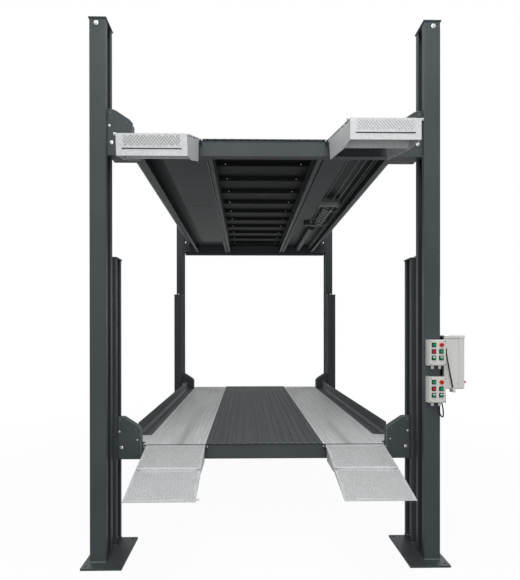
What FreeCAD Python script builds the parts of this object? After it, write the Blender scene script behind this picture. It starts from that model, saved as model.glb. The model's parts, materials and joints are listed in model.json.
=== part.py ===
import FreeCAD, Part
import math
import os

os.makedirs("parts", exist_ok=True)

V = FreeCAD.Vector
ORIGIN = V(0, 0, 0)
ACROSS = V(1, 0, 0)
BACK = V(0, 1, 0)
UP = V(0, 0, 1)

# The frame: x to the right, y away from the driver who drives in, z up.
# The origin is on the floor, midway between the four pairs of columns.

# Driving dimensions, in millimetres and degrees

# Overall
half_width = 1457.0
half_length = 2505.0

# Folded channel columns, open towards the inside of the lift
column_width = 136.0
tall_depth = 193.0
short_depth = 175.0
column_wall = 8.0
column_slot = 96.0
column_fold_radius = 7.0
tall_height = 4506.0
short_height = 2577.0
short_setback = 305.0
cap_thickness = 10.0
cap_overhang = 6.0

# Base plates with their anchor holes
plate_width = 332.0
plate_length = 572.0
plate_thickness = 18.0
plate_front_margin = 105.0
plate_outer_margin = 43.0
anchor_hole_radius = 11.0
anchor_inset = 35.0

# Rope anchors in the heads of the columns
anchor_drop = 140.0
anchor_length = 70.0
anchor_thickness = 60.0
rope_radius = 6.0
rope_sides = 6
round_sides = 12
barrel_sides = 24

# Platforms
headroom = 974.0
lower_deck_top = 905.0
deck_plate = 5.0
frame_depth = 135.0
upper_rear_beam_depth = 175.0
beam_depth = 73.0
beam_wall = 6.0
beam_half_length = 1300.0
deck_overhang = 8.0

# Wheel runways, each with a web, a bottom flange and panels that close part of its underside
runway_inner = 533.0
runway_outer = 1090.0
runway_web = 4.0
runway_web_inner = 547.0
runway_flange = 45.0
wing_outer = 1190.0
wing_start = 106.0
panel_thickness = 3.0
panel_seam = 1625.0
panel_seam_gap = 6.0
left_panel_outer = 875.0
left_panel_end = 3775.0
right_panel_outer = 682.0
right_panel_end = 2205.0

# Rails along the runways
inner_rail_inner = 452.0
inner_rail_outer = 491.0
rail_wall = 5.0
side_web_outer = 1075.0
side_flange = 40.0
kerb_outer = 1222.0
kerb_bend = 40.0
kerb_rise = 123.0
kerb_start = 373.0

# Centre deck between the runways
centre_half_width = 530.0
rib_pitch = 70.0
rib_count = 15
rib_width = 20.0
rib_height = 6.0
pan_pitch = 430.0
pan_lip_height = 35.0
pan_lip_thickness = 3.0
pan_lip_gap = 8.0
pan_clearance = 8.0

# Carriages at the ends of the crossbeams
carriage_inner = 1117.0
carriage_rise = 243.0
carriage_shoulder = 1272.0
carriage_chamfer = 1142.0
carriage_chamfer_rise = 158.0
carriage_edge_rise = 128.0
carriage_corner_radius = 50.0
carriage_sheet = 6.0
shoe_height = 70.0
shoe_projection = 25.0
shoe_side_clearance = 6.5
shoe_inner_clearance = 9.0
shoe_outer_clearance = 12.0
bracket_depth = 91.0
bracket_clearance = 9.0

# Lift gear under the right runway of each platform
gear_drop = 75.0
cylinder_centre = 800.0
cylinder_radius = 42.0
cylinder_collar = 8.0
cylinder_collar_length = 45.0
rod_radius = 20.0
cylinder_setback = 2950.0
yoke_width = 280.0
yoke_length = 90.0
yoke_height = 70.0
yoke_setback = 2680.0
terminal_radius = 11.0
terminal_length = 320.0
terminal_places = (720.0, 750.0, 850.0, 915.0)
spring_places = (750.0, 850.0)
cup_radius = 20.0
cup_length = 12.0
cup_setbacks = (20.0, 132.0)
guide_setback = 1600.0
guide_length = 180.0
guide_inner = 700.0
guide_outer = 940.0
guide_plate = 10.0
guide_block_rise = 30.0
guide_block_foot = 12.0
guide_block_belly = 26.0
guide_plate_foot = 30.0
guide_plate_belly = 20.0
return_ropes = (985.0, 1015.0)
cross_rod_setback = 2140.0
cross_rod_radius = 9.0

# Ramp hinges, the same on all four trays
ramp_plate = 5.0
ramp_sheet = 5.0
ramp_hinge_drop = 18.0
ramp_swing_gap = 5.0
hinge_weld = 0.5
hinge_pin_radius = 8.0
hinge_hole_radius = 8.6
lug_radius = 16.0
lug_thickness = 10.0
lug_gap = 5.0
lug_foot = 45.0
pin_head_radius = 12.0
pin_head_length = 6.0
pin_head_gap = 1.0

# Trays of the upper platform, with side cheeks given as (forward, down) from the hinge line and plate top
upper_tray_width = 472.0
upper_tray_length = 850.0
upper_front_lean = 33.0
upper_front_depth = 139.0
upper_cheek_rear = (45.0, 5.0)
upper_cheek_heel = (150.0, 180.0)
upper_cheek_sole = (680.0, 167.0)
upper_wall_place = 650.0
upper_wall_depth = 160.0
upper_rib_places = (220.0, 535.0)
tray_rib_height = 40.0
cheek_tab_places = (100.0, 220.0, 535.0, 650.0, 815.0)
cheek_tab_width = 36.0
cheek_notch = 11.0
lip_share = 0.84
lip_thickness = 4.0
lip_height = 90.0
lip_slot = 9.0
knob_radius = 9.0
knob_length = 18.0
knob_setback = 16.0
knob_drop = 6.0
upper_left_centre = 789.0
upper_left_droop = 20.65
upper_right_centre = 757.5
upper_right_droop = 13.7

# Trays of the lower platform, with the tips at their ends
lower_tray_width = 526.0
lower_tray_length = 415.0
lower_cheek_rear = (60.0, 5.0)
lower_cheek_heel = (105.0, 110.0)
lower_front_depth = 42.0
lower_rib_place = 220.0
lower_left_centre = 794.6
lower_left_droop = 12.9
lower_right_centre = 812.7
lower_right_droop = 12.75
tip_length = 425.0
tip_hinge_forward = 12.0
tip_hinge_rise = 5.0
tip_tube_radius = 8.0
tip_pin_radius = 5.0
tip_hole_radius = 5.6
tip_pin_end = 6.0
tip_eye_radius = 10.0
tip_ear_width = 14.0
tip_ear_gap = 3.0
tip_ear_length = 30.0
tip_ear_clearance = 2.0
tip_plate_gap = 16.0
tip_flange_gap = 22.0
tip_flange_depth = 28.0
tip_flange_straight = 38.0
tip_flange_end = 8.0
tip_droop = 15.28
stub_radius = 7.0
stub_length = 26.0
stub_setback = 30.0

# Control boxes on the front right tall column
control_left = 1332.0
control_width = 140.0
control_depth = 84.0
control_height = 213.0
control_lid_depth = 34.0
control_lid_margin = 2.0
control_lid_chamfer = 6.0
lower_control_base = 1336.0
control_spacing = 91.0
bezel_width = 36.0
bezel_thickness = 5.0
button_radius = 13.0
button_length = 10.0
button_columns = (-34.0, 27.0)
button_rows = (65.0, 11.0, -42.0)
collar_radius = 18.0
collar_length = 5.0
mushroom_radius = 16.0
mushroom_length = 20.0
gland_radius = 12.0
gland_length = 28.0
gland_offset = 30.0
gland_sides = 6

# Switch cabinet beside the same column
cabinet_left = 1500.0
cabinet_width = 172.0
cabinet_front = 45.0
cabinet_depth = 150.0
cabinet_base = 1435.0
cabinet_height = 453.0
rain_lip_height = 24.0
rain_lip_depth = 24.0
cover_thickness = 18.0
cover_width = 124.0
cover_gap = 2.0
cover_bottom_margin = 8.0
latch_radius = 9.0
latch_length = 5.0
latch_inset = 14.0
latch_height = 57.0
bracket_thickness = 6.0
bracket_setback = 12.0
bracket_below = 50.0
bracket_short = 10.0
switch_radius = 20.0
switch_length = 34.0
switch_height = 55.0
switch_collar_radius = 27.0
switch_collar_length = 6.0

# Cable duct on the outer side of the front right tall column
duct_width = 45.0
duct_thickness = 30.0
duct_base = 2217.0

# Control leads, with their routes as points
lead_diameter = 11.0
lead_sides = 6
sleeve_radius = 8.0
sleeve_length = 24.0
elbow_place = (1492.0, -2530.0, 1772.0)
upper_lead_route = ((1506.0, -2523.0, 1700.0), (1540.0, -2505.0, 1560.0), (1568.0, -2492.0, 1452.0))
entry_width = 24.0
entry_length = 62.0
entry_height = 24.0
plate_gland_radius = 10.0
lower_lead_route = ((1432.0, -2547.0, 1308.0), (1432.0, -2547.0, 1282.0), (1435.0, -2546.0, 1250.0),
                    (1447.0, -2540.0, 1222.0), (1468.0, -2519.0, 1208.0), (1480.0, -2487.0, 1216.0),
                    (1485.0, -2460.0, 1243.0), (1485.5, -2447.0, 1280.0), (1485.0, -2444.5, 1322.0),
                    (1485.0, -2445.0, 1363.0))

# Places worked out from the dimensions
front_face = -half_length
tall_centre = front_face + tall_depth / 2
short_front = front_face + short_setback
short_centre = short_front + short_depth / 2
slot_face = half_width - column_width
upper_deck_top = tall_height - headroom
shoe_inner = slot_face + column_wall + shoe_inner_clearance
shoe_outer = half_width - column_wall - shoe_outer_clearance
carriage_outer = shoe_outer - shoe_projection
shoe_tall = tall_depth - 2 * column_wall - 2 * shoe_side_clearance
shoe_short = short_depth - 2 * column_wall - 2 * shoe_side_clearance
carriage_thickness = beam_depth + 2 * carriage_sheet
ramp_hinge_forward = deck_overhang + ramp_hinge_drop + ramp_swing_gap
hinge_tube_radius = ramp_hinge_drop - ramp_plate + hinge_weld
upper_control_base = lower_control_base + control_height + control_spacing
control_right = control_left + control_width
control_middle = control_left + control_width / 2
cabinet_right = cabinet_left + cabinet_width
cabinet_face = front_face + cabinet_front
cabinet_top = cabinet_base + cabinet_height


def box(x0, x1, y0, y1, z0, z1):
    low = V(min(x0, x1), min(y0, y1), min(z0, z1))
    return Part.makeBox(abs(x1 - x0), abs(y1 - y0), abs(z1 - z0), low)


def rod(start, direction, radius, length):
    return Part.makeCylinder(radius, length, start, direction)


def prism(points, direction):
    loop = list(points) + [points[0]]
    return Part.Face(Part.makePolygon(loop)).extrude(direction)


def ring(start, direction, radius, sides):
    """The corners of a regular polygon across the direction."""
    other = ACROSS if abs(direction.z) > abs(direction.x) else UP
    spoke = direction.cross(other).normalize() * radius
    return [start + FreeCAD.Rotation(direction, 360.0 * n / sides).multVec(spoke) for n in range(sides)]


def bar(start, direction, radius, length, sides):
    """A straight bar of few sides."""
    return prism(ring(start, direction, radius, sides), direction * length)


def fuse(shapes):
    return shapes[0].multiFuse(shapes[1:]).removeSplitter()


def across(shape):
    return shape.mirror(ORIGIN, ACROSS)


def endwise(shape):
    return shape.mirror(ORIGIN, BACK)


def four_corners(shape):
    return [across(shape), shape, endwise(across(shape)), endwise(shape)]


def save(name, shape):
    shape.exportStep("parts/" + name + ".step")


def inset(outline, wall):
    """An anticlockwise outline moved inwards by the wall on every side."""
    sides = []
    for n, (x0, z0) in enumerate(outline):
        x1, z1 = outline[(n + 1) % len(outline)]
        length = math.hypot(x1 - x0, z1 - z0)
        u = (x1 - x0) / length
        w = (z1 - z0) / length
        sides.append((x0 - w * wall, z0 + u * wall, u, w))
    moved = []
    for n, (bx, bz, bu, bw) in enumerate(sides):
        ax, az, au, aw = sides[n - 1]
        along = ((bx - ax) * bw - (bz - az) * bu) / (au * bw - aw * bu)
        moved.append((ax + along * au, az + along * aw))
    return moved


def base_plate():
    """The front right plate, lying on the floor under both of its columns."""
    outer = half_width + plate_outer_margin
    inner = outer - plate_width
    front = front_face - plate_front_margin
    back = front + plate_length
    plate = box(inner, outer, front, back, 0, plate_thickness)
    for x in (inner + anchor_inset, outer - anchor_inset):
        for y in (front + anchor_inset, back - anchor_inset):
            plate = plate.cut(rod(V(x, y, 0), UP, anchor_hole_radius, plate_thickness))
    return plate


def column(front, depth, height):
    """A lipped channel on the right side, its slot towards the middle of the lift."""
    back = front + depth
    outside = box(slot_face, half_width, front, back, plate_thickness, height)
    edges = [e for e in outside.Edges if abs(e.tangentAt(e.FirstParameter).z) > 0.9]
    outside = outside.makeFillet(column_fold_radius, edges)
    inside = box(slot_face + column_wall, half_width - column_wall,
                 front + column_wall, back - column_wall, 0, height)
    middle = front + depth / 2
    slot = box(slot_face, slot_face + column_wall, middle - column_slot / 2, middle + column_slot / 2,
               0, height)
    return outside.cut(inside).cut(slot)


def column_cap(front, depth, height):
    return box(slot_face - cap_overhang, half_width + cap_overhang, front - cap_overhang,
               front + depth + cap_overhang, height, height + cap_thickness)


def rope_anchor(centre, height):
    """A block hung under the cap, inside the column, that holds the rope's end."""
    middle = (slot_face + half_width) / 2
    return box(middle - anchor_thickness / 2, middle + anchor_thickness / 2,
               centre - anchor_length / 2, centre + anchor_length / 2, height - anchor_drop, height)


def column_rope(centre, deck_top, height):
    """The upright run of a lifting rope, from the carriage to its anchor."""
    middle = (slot_face + half_width) / 2
    low = deck_top + carriage_rise
    return bar(V(middle, centre, low), UP, rope_radius, height - anchor_drop - low, rope_sides)


def carriage(centre, deck_top, shoe_width):
    """The gusset box on the right end of a front crossbeam, its two guide shoes and the bracket behind it."""
    low = deck_top - frame_depth
    top = deck_top + carriage_rise
    outline = [(carriage_inner, low), (carriage_outer, low), (carriage_outer, top), (carriage_shoulder, top),
               (carriage_chamfer, deck_top + carriage_chamfer_rise),
               (carriage_inner, deck_top + carriage_edge_rise)]
    near = centre - carriage_thickness / 2
    back = centre + carriage_thickness / 2
    body = prism([V(x, near, z) for x, z in outline], V(0, carriage_thickness, 0))
    corners = [e for e in body.Edges if e.Length < carriage_thickness + 0.1
               and abs(e.tangentAt(e.FirstParameter).y) > 0.9
               and e.BoundBox.ZMin > deck_top + carriage_chamfer_rise + 1
               and e.BoundBox.XMax < carriage_outer - 1]
    body = body.makeFillet(carriage_corner_radius, corners)
    inside_near = centre - beam_depth / 2
    inside_back = centre + beam_depth / 2
    body = body.cut(prism([V(x, inside_near, z) for x, z in inset(outline, carriage_sheet)],
                          V(0, beam_depth, 0)))
    body = body.cut(box(carriage_inner, beam_half_length, inside_near, inside_back, low,
                        deck_top - deck_plate))
    shoes = [box(shoe_inner, shoe_outer, centre - shoe_width / 2, centre + shoe_width / 2, z, z + shoe_height)
             for z in (low, top - shoe_height)]
    outer = slot_face - bracket_clearance
    end = back + bracket_depth
    floor = box(side_web_outer, outer, back, end, low, low + carriage_sheet)
    wall = box(side_web_outer, outer, end - carriage_sheet, end, low, deck_top - deck_plate)
    return fuse([body, floor, wall] + shoes)


def lug(x, face, deck_top):
    """An ear on the front of a crossbeam that holds one end of a ramp's hinge pin."""
    axis_y = face - ramp_hinge_forward
    axis_z = deck_top - ramp_hinge_drop
    nose = lug_radius * math.tan(math.radians(22.5))
    top = deck_top - deck_plate
    outline = [(face, top), (axis_y - nose, top), (axis_y - lug_radius, axis_z + nose),
               (axis_y - lug_radius, axis_z - nose), (axis_y - nose, axis_z - lug_radius),
               (face, deck_top - lug_foot)]
    plate = prism([V(x, y, z) for y, z in outline], V(lug_thickness, 0, 0))
    return plate.cut(bar(V(x, axis_y, axis_z), ACROSS, hinge_hole_radius, lug_thickness, round_sides))


def crossbeam(centre, deck_top, depth, hinges):
    """A rectangular tube from carriage to carriage, with ears for the ramps hinged to it."""
    top = deck_top - deck_plate
    low = deck_top - depth
    near = centre - beam_depth / 2
    far = centre + beam_depth / 2
    beam = box(-beam_half_length, beam_half_length, near, far, low, top)
    beam = beam.cut(box(-beam_half_length, beam_half_length, near + beam_wall, far - beam_wall,
                        low + beam_wall, top - beam_wall))
    ears = []
    for middle, width in hinges:
        reach = width / 2 + lug_gap
        ears.append(lug(middle - reach - lug_thickness, near, deck_top))
        ears.append(lug(middle + reach, near, deck_top))
    return fuse([beam] + ears) if ears else beam


def runway(centre, deck_top, panel_outer, panel_end):
    """A right-hand wheel track: its plate with the wing, the inner web, its flange and the panels below."""
    front = centre - beam_depth / 2 - deck_overhang
    inside = centre + beam_depth / 2
    low = deck_top - frame_depth
    top = deck_top - deck_plate
    seam = front_face + panel_seam
    pieces = [box(runway_inner, runway_outer, front, -front, top, deck_top),
              box(runway_outer, wing_outer, front + wing_start, front + kerb_start, top, deck_top),
              box(runway_web_inner, runway_web_inner + runway_web, inside, -inside, low, top),
              box(runway_web_inner - runway_flange, runway_web_inner, inside, -inside, low, low + runway_web)]
    for y0, y1 in ((inside, seam - panel_seam_gap / 2), (seam + panel_seam_gap / 2, front_face + panel_end)):
        pieces.append(box(runway_web_inner, panel_outer, y0, y1, low, low + panel_thickness))
    return fuse(pieces)


def inner_rail(centre, deck_top):
    """A channel beside the runway's web, open towards the middle of the lift."""
    inside = centre + beam_depth / 2
    low = deck_top - frame_depth
    top = deck_top - deck_plate
    solid = box(inner_rail_inner, inner_rail_outer, inside, -inside, low, top)
    return solid.cut(box(inner_rail_inner, inner_rail_outer - rail_wall, inside, -inside,
                         low + rail_wall, top - rail_wall))


def kerb(start, end, top):
    """A folded kerb: a ledge under the runway's edge, a round bend and an upright."""
    outer = kerb_outer
    inner = kerb_outer - rail_wall
    base = top - rail_wall
    centre_x = outer - kerb_bend
    centre_z = base + kerb_bend
    high = top + deck_plate + kerb_rise
    half = math.sqrt(0.5)

    def bend(radius, first, last):
        middle = V(centre_x + half * radius, start, centre_z - half * radius)
        return Part.Arc(first, middle, last).toShape()

    corners = [V(side_web_outer, start, base), V(centre_x, start, base), V(outer, start, centre_z),
               V(outer, start, high), V(inner, start, high), V(inner, start, centre_z),
               V(centre_x, start, top), V(side_web_outer, start, top)]
    edges = [Part.makeLine(corners[0], corners[1]), bend(kerb_bend, corners[1], corners[2]),
             Part.makeLine(corners[2], corners[3]), Part.makeLine(corners[3], corners[4]),
             Part.makeLine(corners[4], corners[5]), bend(kerb_bend - rail_wall, corners[5], corners[6]),
             Part.makeLine(corners[6], corners[7]), Part.makeLine(corners[7], corners[0])]
    return Part.Face(Part.Wire(edges)).extrude(V(0, end - start, 0))


def side_rail(centre, deck_top):
    """The side member under the runway's outer edge, and the kerb that stands on it."""
    front = centre - beam_depth / 2 - deck_overhang
    inside = centre + beam_depth / 2
    low = deck_top - frame_depth
    top = deck_top - deck_plate
    web = box(side_web_outer - rail_wall, side_web_outer, inside, -inside, low, top)
    flange = box(side_web_outer - side_flange, side_web_outer, inside, -inside, low, low + rail_wall)
    rear_bracket = -(centre + carriage_thickness / 2 + bracket_depth)
    return fuse([web, flange, kerb(front + kerb_start, rear_bracket, top)])


def centre_deck(centre, deck_top):
    """Cross pans with turned-down lips, under a sheet with ribs along the lift."""
    front = centre - beam_depth / 2 - deck_overhang
    inside = centre + beam_depth / 2
    top = deck_top - deck_plate
    half = inner_rail_inner - pan_clearance
    pieces = [box(-centre_half_width, centre_half_width, front, -front, top, deck_top)]
    for n in range(rib_count):
        x = (n - (rib_count - 1) / 2) * rib_pitch
        pieces.append(box(x - rib_width / 2, x + rib_width / 2, front, -front, deck_top,
                          deck_top + rib_height))
    count = round(-2 * inside / pan_pitch)
    pitch = -2 * inside / count
    for n in range(1, count):
        y = inside + n * pitch
        for near in (y - pan_lip_gap / 2 - pan_lip_thickness, y + pan_lip_gap / 2):
            pieces.append(box(-half, half, near, near + pan_lip_thickness, top - pan_lip_height, top))
    return fuse(pieces)


def lift_cylinder(centre, deck_top):
    """The hydraulic cylinder and its rod, the yoke that it pulls, and the rope terminals on it."""
    z = deck_top - gear_drop
    rear = -(centre + beam_depth / 2)
    yoke_y = front_face + yoke_setback
    barrel_y = front_face + cylinder_setback
    collar_outer = cylinder_radius + cylinder_collar
    barrel = bar(V(cylinder_centre, barrel_y, z), BACK, cylinder_radius, rear - barrel_y, barrel_sides)
    collar = bar(V(cylinder_centre, barrel_y, z), BACK, collar_outer, cylinder_collar_length, round_sides)
    piston = bar(V(cylinder_centre, yoke_y + yoke_length, z), BACK, rod_radius,
                 barrel_y - yoke_y - yoke_length, round_sides)
    yoke = box(cylinder_centre - yoke_width / 2, cylinder_centre + yoke_width / 2, yoke_y,
               yoke_y + yoke_length, z - yoke_height / 2, z + yoke_height / 2)
    pieces = [barrel, collar, piston, yoke]
    for x in terminal_places:
        pieces.append(bar(V(x, yoke_y - terminal_length, z), BACK, terminal_radius, terminal_length,
                          rope_sides))
    for x in spring_places:
        for setback in cup_setbacks:
            pieces.append(bar(V(x, yoke_y - setback - cup_length, z), BACK, cup_radius, cup_length,
                              rope_sides))
    return fuse(pieces)


def cross_rod(deck_top):
    """The rod between the runway's web and the side rail, over the ropes, that keeps them from whipping."""
    y = front_face + cross_rod_setback
    z = deck_top - gear_drop + rope_radius + cross_rod_radius
    start = runway_web_inner + runway_web
    return bar(V(start, y, z), ACROSS, cross_rod_radius, side_web_outer - rail_wall - start, rope_sides)


def bellied(near, far, top, foot, belly):
    """A side view with a flat top, upright ends down to the foot, and a round belly below."""
    corners = [V(0, near, top), V(0, near, foot), V(0, far, foot), V(0, far, top)]
    low = V(0, (near + far) / 2, foot - belly)
    edges = [Part.makeLine(corners[0], corners[1]), Part.Arc(corners[1], low, corners[2]).toShape(),
             Part.makeLine(corners[2], corners[3]), Part.makeLine(corners[3], corners[0])]
    return Part.Face(Part.Wire(edges))


def rope_guide(deck_top):
    """The saddle that the ropes run over: a round-bellied block between two plates hung from the deck."""
    z = deck_top - gear_drop
    near = front_face + guide_setback
    far = near + guide_length
    block = bellied(near, far, z + guide_block_rise, z - guide_block_foot, guide_block_belly)
    plate = bellied(near, far, deck_top - deck_plate, z - guide_plate_foot, guide_plate_belly)
    block.translate(V(guide_inner, 0, 0))
    pieces = [block.extrude(V(guide_outer - guide_inner, 0, 0))]
    for x in (guide_inner, guide_outer - guide_plate):
        side = plate.copy()
        side.translate(V(x, 0, 0))
        pieces.append(side.extrude(V(guide_plate, 0, 0)))
    return fuse(pieces)


def rope_runs(centre, deck_top):
    """The ropes along the right runway, from the crossbeam to the guide, the terminals and the rear."""
    z = deck_top - gear_drop
    inside = centre + beam_depth / 2
    guide_near = front_face + guide_setback
    guide_far = guide_near + guide_length
    terminal_end = front_face + yoke_setback - terminal_length
    stretches = [(x, inside, guide_near) for x in terminal_places]
    stretches += [(x, guide_far, terminal_end) for x in terminal_places]
    stretches += [(x, inside, -inside) for x in return_ropes]
    return Part.makeCompound([bar(V(x, y0, z), BACK, rope_radius, y1 - y0, rope_sides)
                              for x, y0, y1 in stretches])


def side_sheet(x, outline, thickness):
    """A sheet across a ramp from x on, its outline as (forward, down) from the hinge line and plate top."""
    return prism([V(x, -forward, ramp_hinge_drop - down) for forward, down in outline], V(thickness, 0, 0))


def hinge_parts(width):
    """The tube along a ramp's rear edge, its pin through the crossbeam's ears, and the pin's heads."""
    reach = width / 2 + lug_gap + lug_thickness + pin_head_gap
    pieces = [bar(V(-reach, 0, 0), ACROSS, hinge_pin_radius, 2 * reach, round_sides),
              bar(V(-width / 2, 0, 0), ACROSS, hinge_tube_radius, width, round_sides)]
    for x in (-reach - pin_head_length, reach):
        pieces.append(bar(V(x, 0, 0), ACROSS, pin_head_radius, pin_head_length, gland_sides))
    return pieces


def upper_tray():
    """A ramp tray of the upper platform about its hinge line: x across, y away from the driver, z up."""
    half = upper_tray_width / 2
    top = ramp_hinge_drop
    under = top - ramp_plate
    front = upper_tray_length
    lean = upper_front_lean / upper_front_depth
    pieces = hinge_parts(upper_tray_width)
    pieces.append(box(-half, half, -front, 0, under, top))
    cheek = [upper_cheek_rear, upper_cheek_heel, upper_cheek_sole,
             (front + upper_front_lean, upper_front_depth), (front + lean * ramp_plate, ramp_plate)]
    for x in (-half, half - ramp_sheet):
        sheet = side_sheet(x, cheek, ramp_sheet)
        for rear_tab, front_tab in zip(cheek_tab_places, cheek_tab_places[1:]):
            sheet = sheet.cut(box(x, x + ramp_sheet, -front_tab + cheek_tab_width / 2,
                                  -rear_tab - cheek_tab_width / 2, under - cheek_notch, under))
        pieces.append(sheet)
    face = [(front, 0), (front + upper_front_lean, upper_front_depth),
            (front + upper_front_lean - ramp_sheet, upper_front_depth), (front - ramp_sheet, 0)]
    pieces.append(side_sheet(-half, face, upper_tray_width))
    lip = lip_share * half
    lip_lean = lean * lip_height
    pieces.append(side_sheet(-lip, [(front + lip_thickness, 0), (front + lip_lean + lip_thickness, lip_height),
                                    (front + lip_lean, lip_height), (front, 0)], 2 * lip))
    pieces.append(box(-half, half, -upper_wall_place, ramp_sheet - upper_wall_place,
                      top - upper_wall_depth, under))
    for place in upper_rib_places:
        pieces.append(box(-half, half, -place, ramp_sheet - place, under - tray_rib_height, under))
    for x in (-half - knob_length, half):
        pieces.append(bar(V(x, knob_setback - front, top - knob_drop), ACROSS, knob_radius, knob_length,
                          round_sides))
    slot = box(-lip, lip, -front - upper_front_lean, -front, top - lip_height - lip_slot, top - lip_height)
    return fuse(pieces).cut(slot)


def lower_tray():
    """A ramp tray of the lower platform about its hinge line, with the ears that carry its tip."""
    half = lower_tray_width / 2
    top = ramp_hinge_drop
    under = top - ramp_plate
    front = lower_tray_length
    pieces = hinge_parts(lower_tray_width)
    pieces.append(box(-half, half, -front, 0, under, top))
    cheek = [lower_cheek_rear, lower_cheek_heel, (front, lower_front_depth), (front, ramp_plate)]
    for x in (-half, half - ramp_sheet):
        pieces.append(side_sheet(x, cheek, ramp_sheet))
    pieces.append(box(-half, half, -front, ramp_sheet - front, top - lower_front_depth, top))
    pieces.append(box(-half, half, -lower_rib_place, ramp_sheet - lower_rib_place, under - tray_rib_height,
                      under))
    axis_y = -front - tip_hinge_forward
    axis_z = top + tip_hinge_rise
    inner = lip_share * half + tip_ear_gap
    for x in (inner, -inner - tip_ear_width):
        pieces.append(bar(V(x, axis_y, axis_z), ACROSS, tip_eye_radius, tip_ear_width, rope_sides))
        pieces.append(box(x, x + tip_ear_width, axis_y, axis_y + tip_ear_length, under,
                          axis_z - tip_ear_clearance))
    body = fuse(pieces)
    reach = inner + tip_ear_width
    return body.cut(bar(V(-reach, axis_y, axis_z), ACROSS, tip_hole_radius, 2 * reach, round_sides))


def tip(with_stub):
    """The tip of a lower ramp about its own hinge line."""
    half = lower_tray_width / 2
    barrel = lip_share * half
    reach = barrel + tip_ear_gap + tip_ear_width + tip_pin_end
    top = -tip_hinge_rise
    under = top - ramp_plate
    front = -tip_length
    pieces = [bar(V(-reach, 0, 0), ACROSS, tip_pin_radius, 2 * reach, round_sides),
              bar(V(-barrel, 0, 0), ACROSS, tip_tube_radius, 2 * barrel, round_sides),
              box(-barrel, barrel, -tip_plate_gap, 0, under, top),
              box(-half, half, front, -tip_plate_gap, under, top)]
    flange = [(-tip_flange_gap, under), (front, under), (front, top - tip_flange_end),
              (-tip_flange_gap - tip_flange_straight, top - tip_flange_depth),
              (-tip_flange_gap, top - tip_flange_depth)]
    for x in (-half, half - ramp_sheet):
        pieces.append(prism([V(x, y, z) for y, z in flange], V(ramp_sheet, 0, 0)))
    if with_stub:
        pieces.append(bar(V(half, front + stub_setback, top - ramp_plate / 2), ACROSS, stub_radius,
                          stub_length, round_sides))
    return fuse(pieces)


def placed(shape, angle, position):
    """A ramp piece turned down by angle about its hinge line, then moved to position."""
    turned = shape.copy()
    turned.rotate(ORIGIN, ACROSS, angle)
    turned.translate(position)
    return turned


def ramp_hinge(middle, centre, deck_top):
    return V(middle, centre - beam_depth / 2 - ramp_hinge_forward, deck_top - ramp_hinge_drop)


def tip_hinge(hinge, droop):
    angle = math.radians(droop)
    forward = lower_tray_length + tip_hinge_forward
    rise = ramp_hinge_drop + tip_hinge_rise
    return V(hinge.x, hinge.y - forward * math.cos(angle) - rise * math.sin(angle),
             hinge.z - forward * math.sin(angle) + rise * math.cos(angle))


def control_box(base):
    """A push-button box on the front face of the column: its base, its bevelled lid and two glands below."""
    face = front_face
    seam = face - control_depth + control_lid_depth
    front = face - control_depth
    margin = control_lid_margin
    body = box(control_left, control_right, seam, face, base, base + control_height)
    lid = box(control_left + margin, control_right - margin, front, seam, base + margin,
              base + control_height - margin)
    rim = [e for e in lid.Edges if e.BoundBox.YMax < front + 1]
    lid = lid.makeChamfer(control_lid_chamfer, rim)
    glands = [bar(V(control_middle + s * gland_offset, face - control_depth / 2, base), -UP, gland_radius,
                  gland_length, gland_sides) for s in (-1, 1)]
    return fuse([body, lid] + glands)


def push_button(x, face, z, mushroom):
    """A button in a square bezel, or the stop button: a mushroom head on a round collar."""
    out = -BACK
    if mushroom:
        pieces = [bar(V(x, face, z), out, collar_radius, collar_length, round_sides),
                  bar(V(x, face, z), out, mushroom_radius, mushroom_length, round_sides)]
    else:
        half = bezel_width / 2
        pieces = [box(x - half, x + half, face - bezel_thickness, face, z - half, z + half),
                  bar(V(x, face, z), out, button_radius, bezel_thickness + button_length, round_sides)]
    return fuse(pieces)


def push_buttons():
    face = front_face - control_depth
    stop = (button_columns[-1], button_rows[0])
    return Part.makeCompound([push_button(control_middle + dx, face, base + control_height / 2 + dz,
                                          (dx, dz) == stop)
                              for base in (upper_control_base, lower_control_base)
                              for dx in button_columns for dz in button_rows])


def switch_cabinet():
    """The cabinet, its rain lip, the fixed strip right of the cover, and the cable entry under its front."""
    front = cabinet_face - cover_thickness
    shell = box(cabinet_left, cabinet_right, cabinet_face, cabinet_face + cabinet_depth, cabinet_base,
                cabinet_top)
    lip = box(cabinet_left, cabinet_right, cabinet_face - rain_lip_depth, cabinet_face,
              cabinet_top - rain_lip_height, cabinet_top)
    strip = box(cabinet_left + cover_width + cover_gap, cabinet_right, front, cabinet_face,
                cabinet_base + cover_bottom_margin, cabinet_top - rain_lip_height)
    end = V(*upper_lead_route[-1])
    run = (end - V(*upper_lead_route[-2])).normalize()
    down = (end.z - cabinet_base + entry_height / 2) / -run.z
    foot = end + run * down
    entry = box(foot.x - entry_width / 2, foot.x + entry_width / 2, foot.y - entry_width / 2,
                foot.y - entry_width / 2 + entry_length, cabinet_base - entry_height, cabinet_base)
    sleeve = bar(end, run, sleeve_radius, down, rope_sides)
    return fuse([shell, lip, strip, entry, sleeve])


def cabinet_cover():
    """The front cover, below the rain lip and left of the fixed strip, with its lock."""
    front = cabinet_face - cover_thickness
    right = cabinet_left + cover_width
    sheet = box(cabinet_left, right, front, cabinet_face, cabinet_base + cover_bottom_margin,
                cabinet_top - rain_lip_height - cover_gap)
    lock = bar(V(right - latch_inset, front, cabinet_base + latch_height), -BACK, latch_radius, latch_length,
               round_sides)
    return fuse([sheet, lock])


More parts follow.
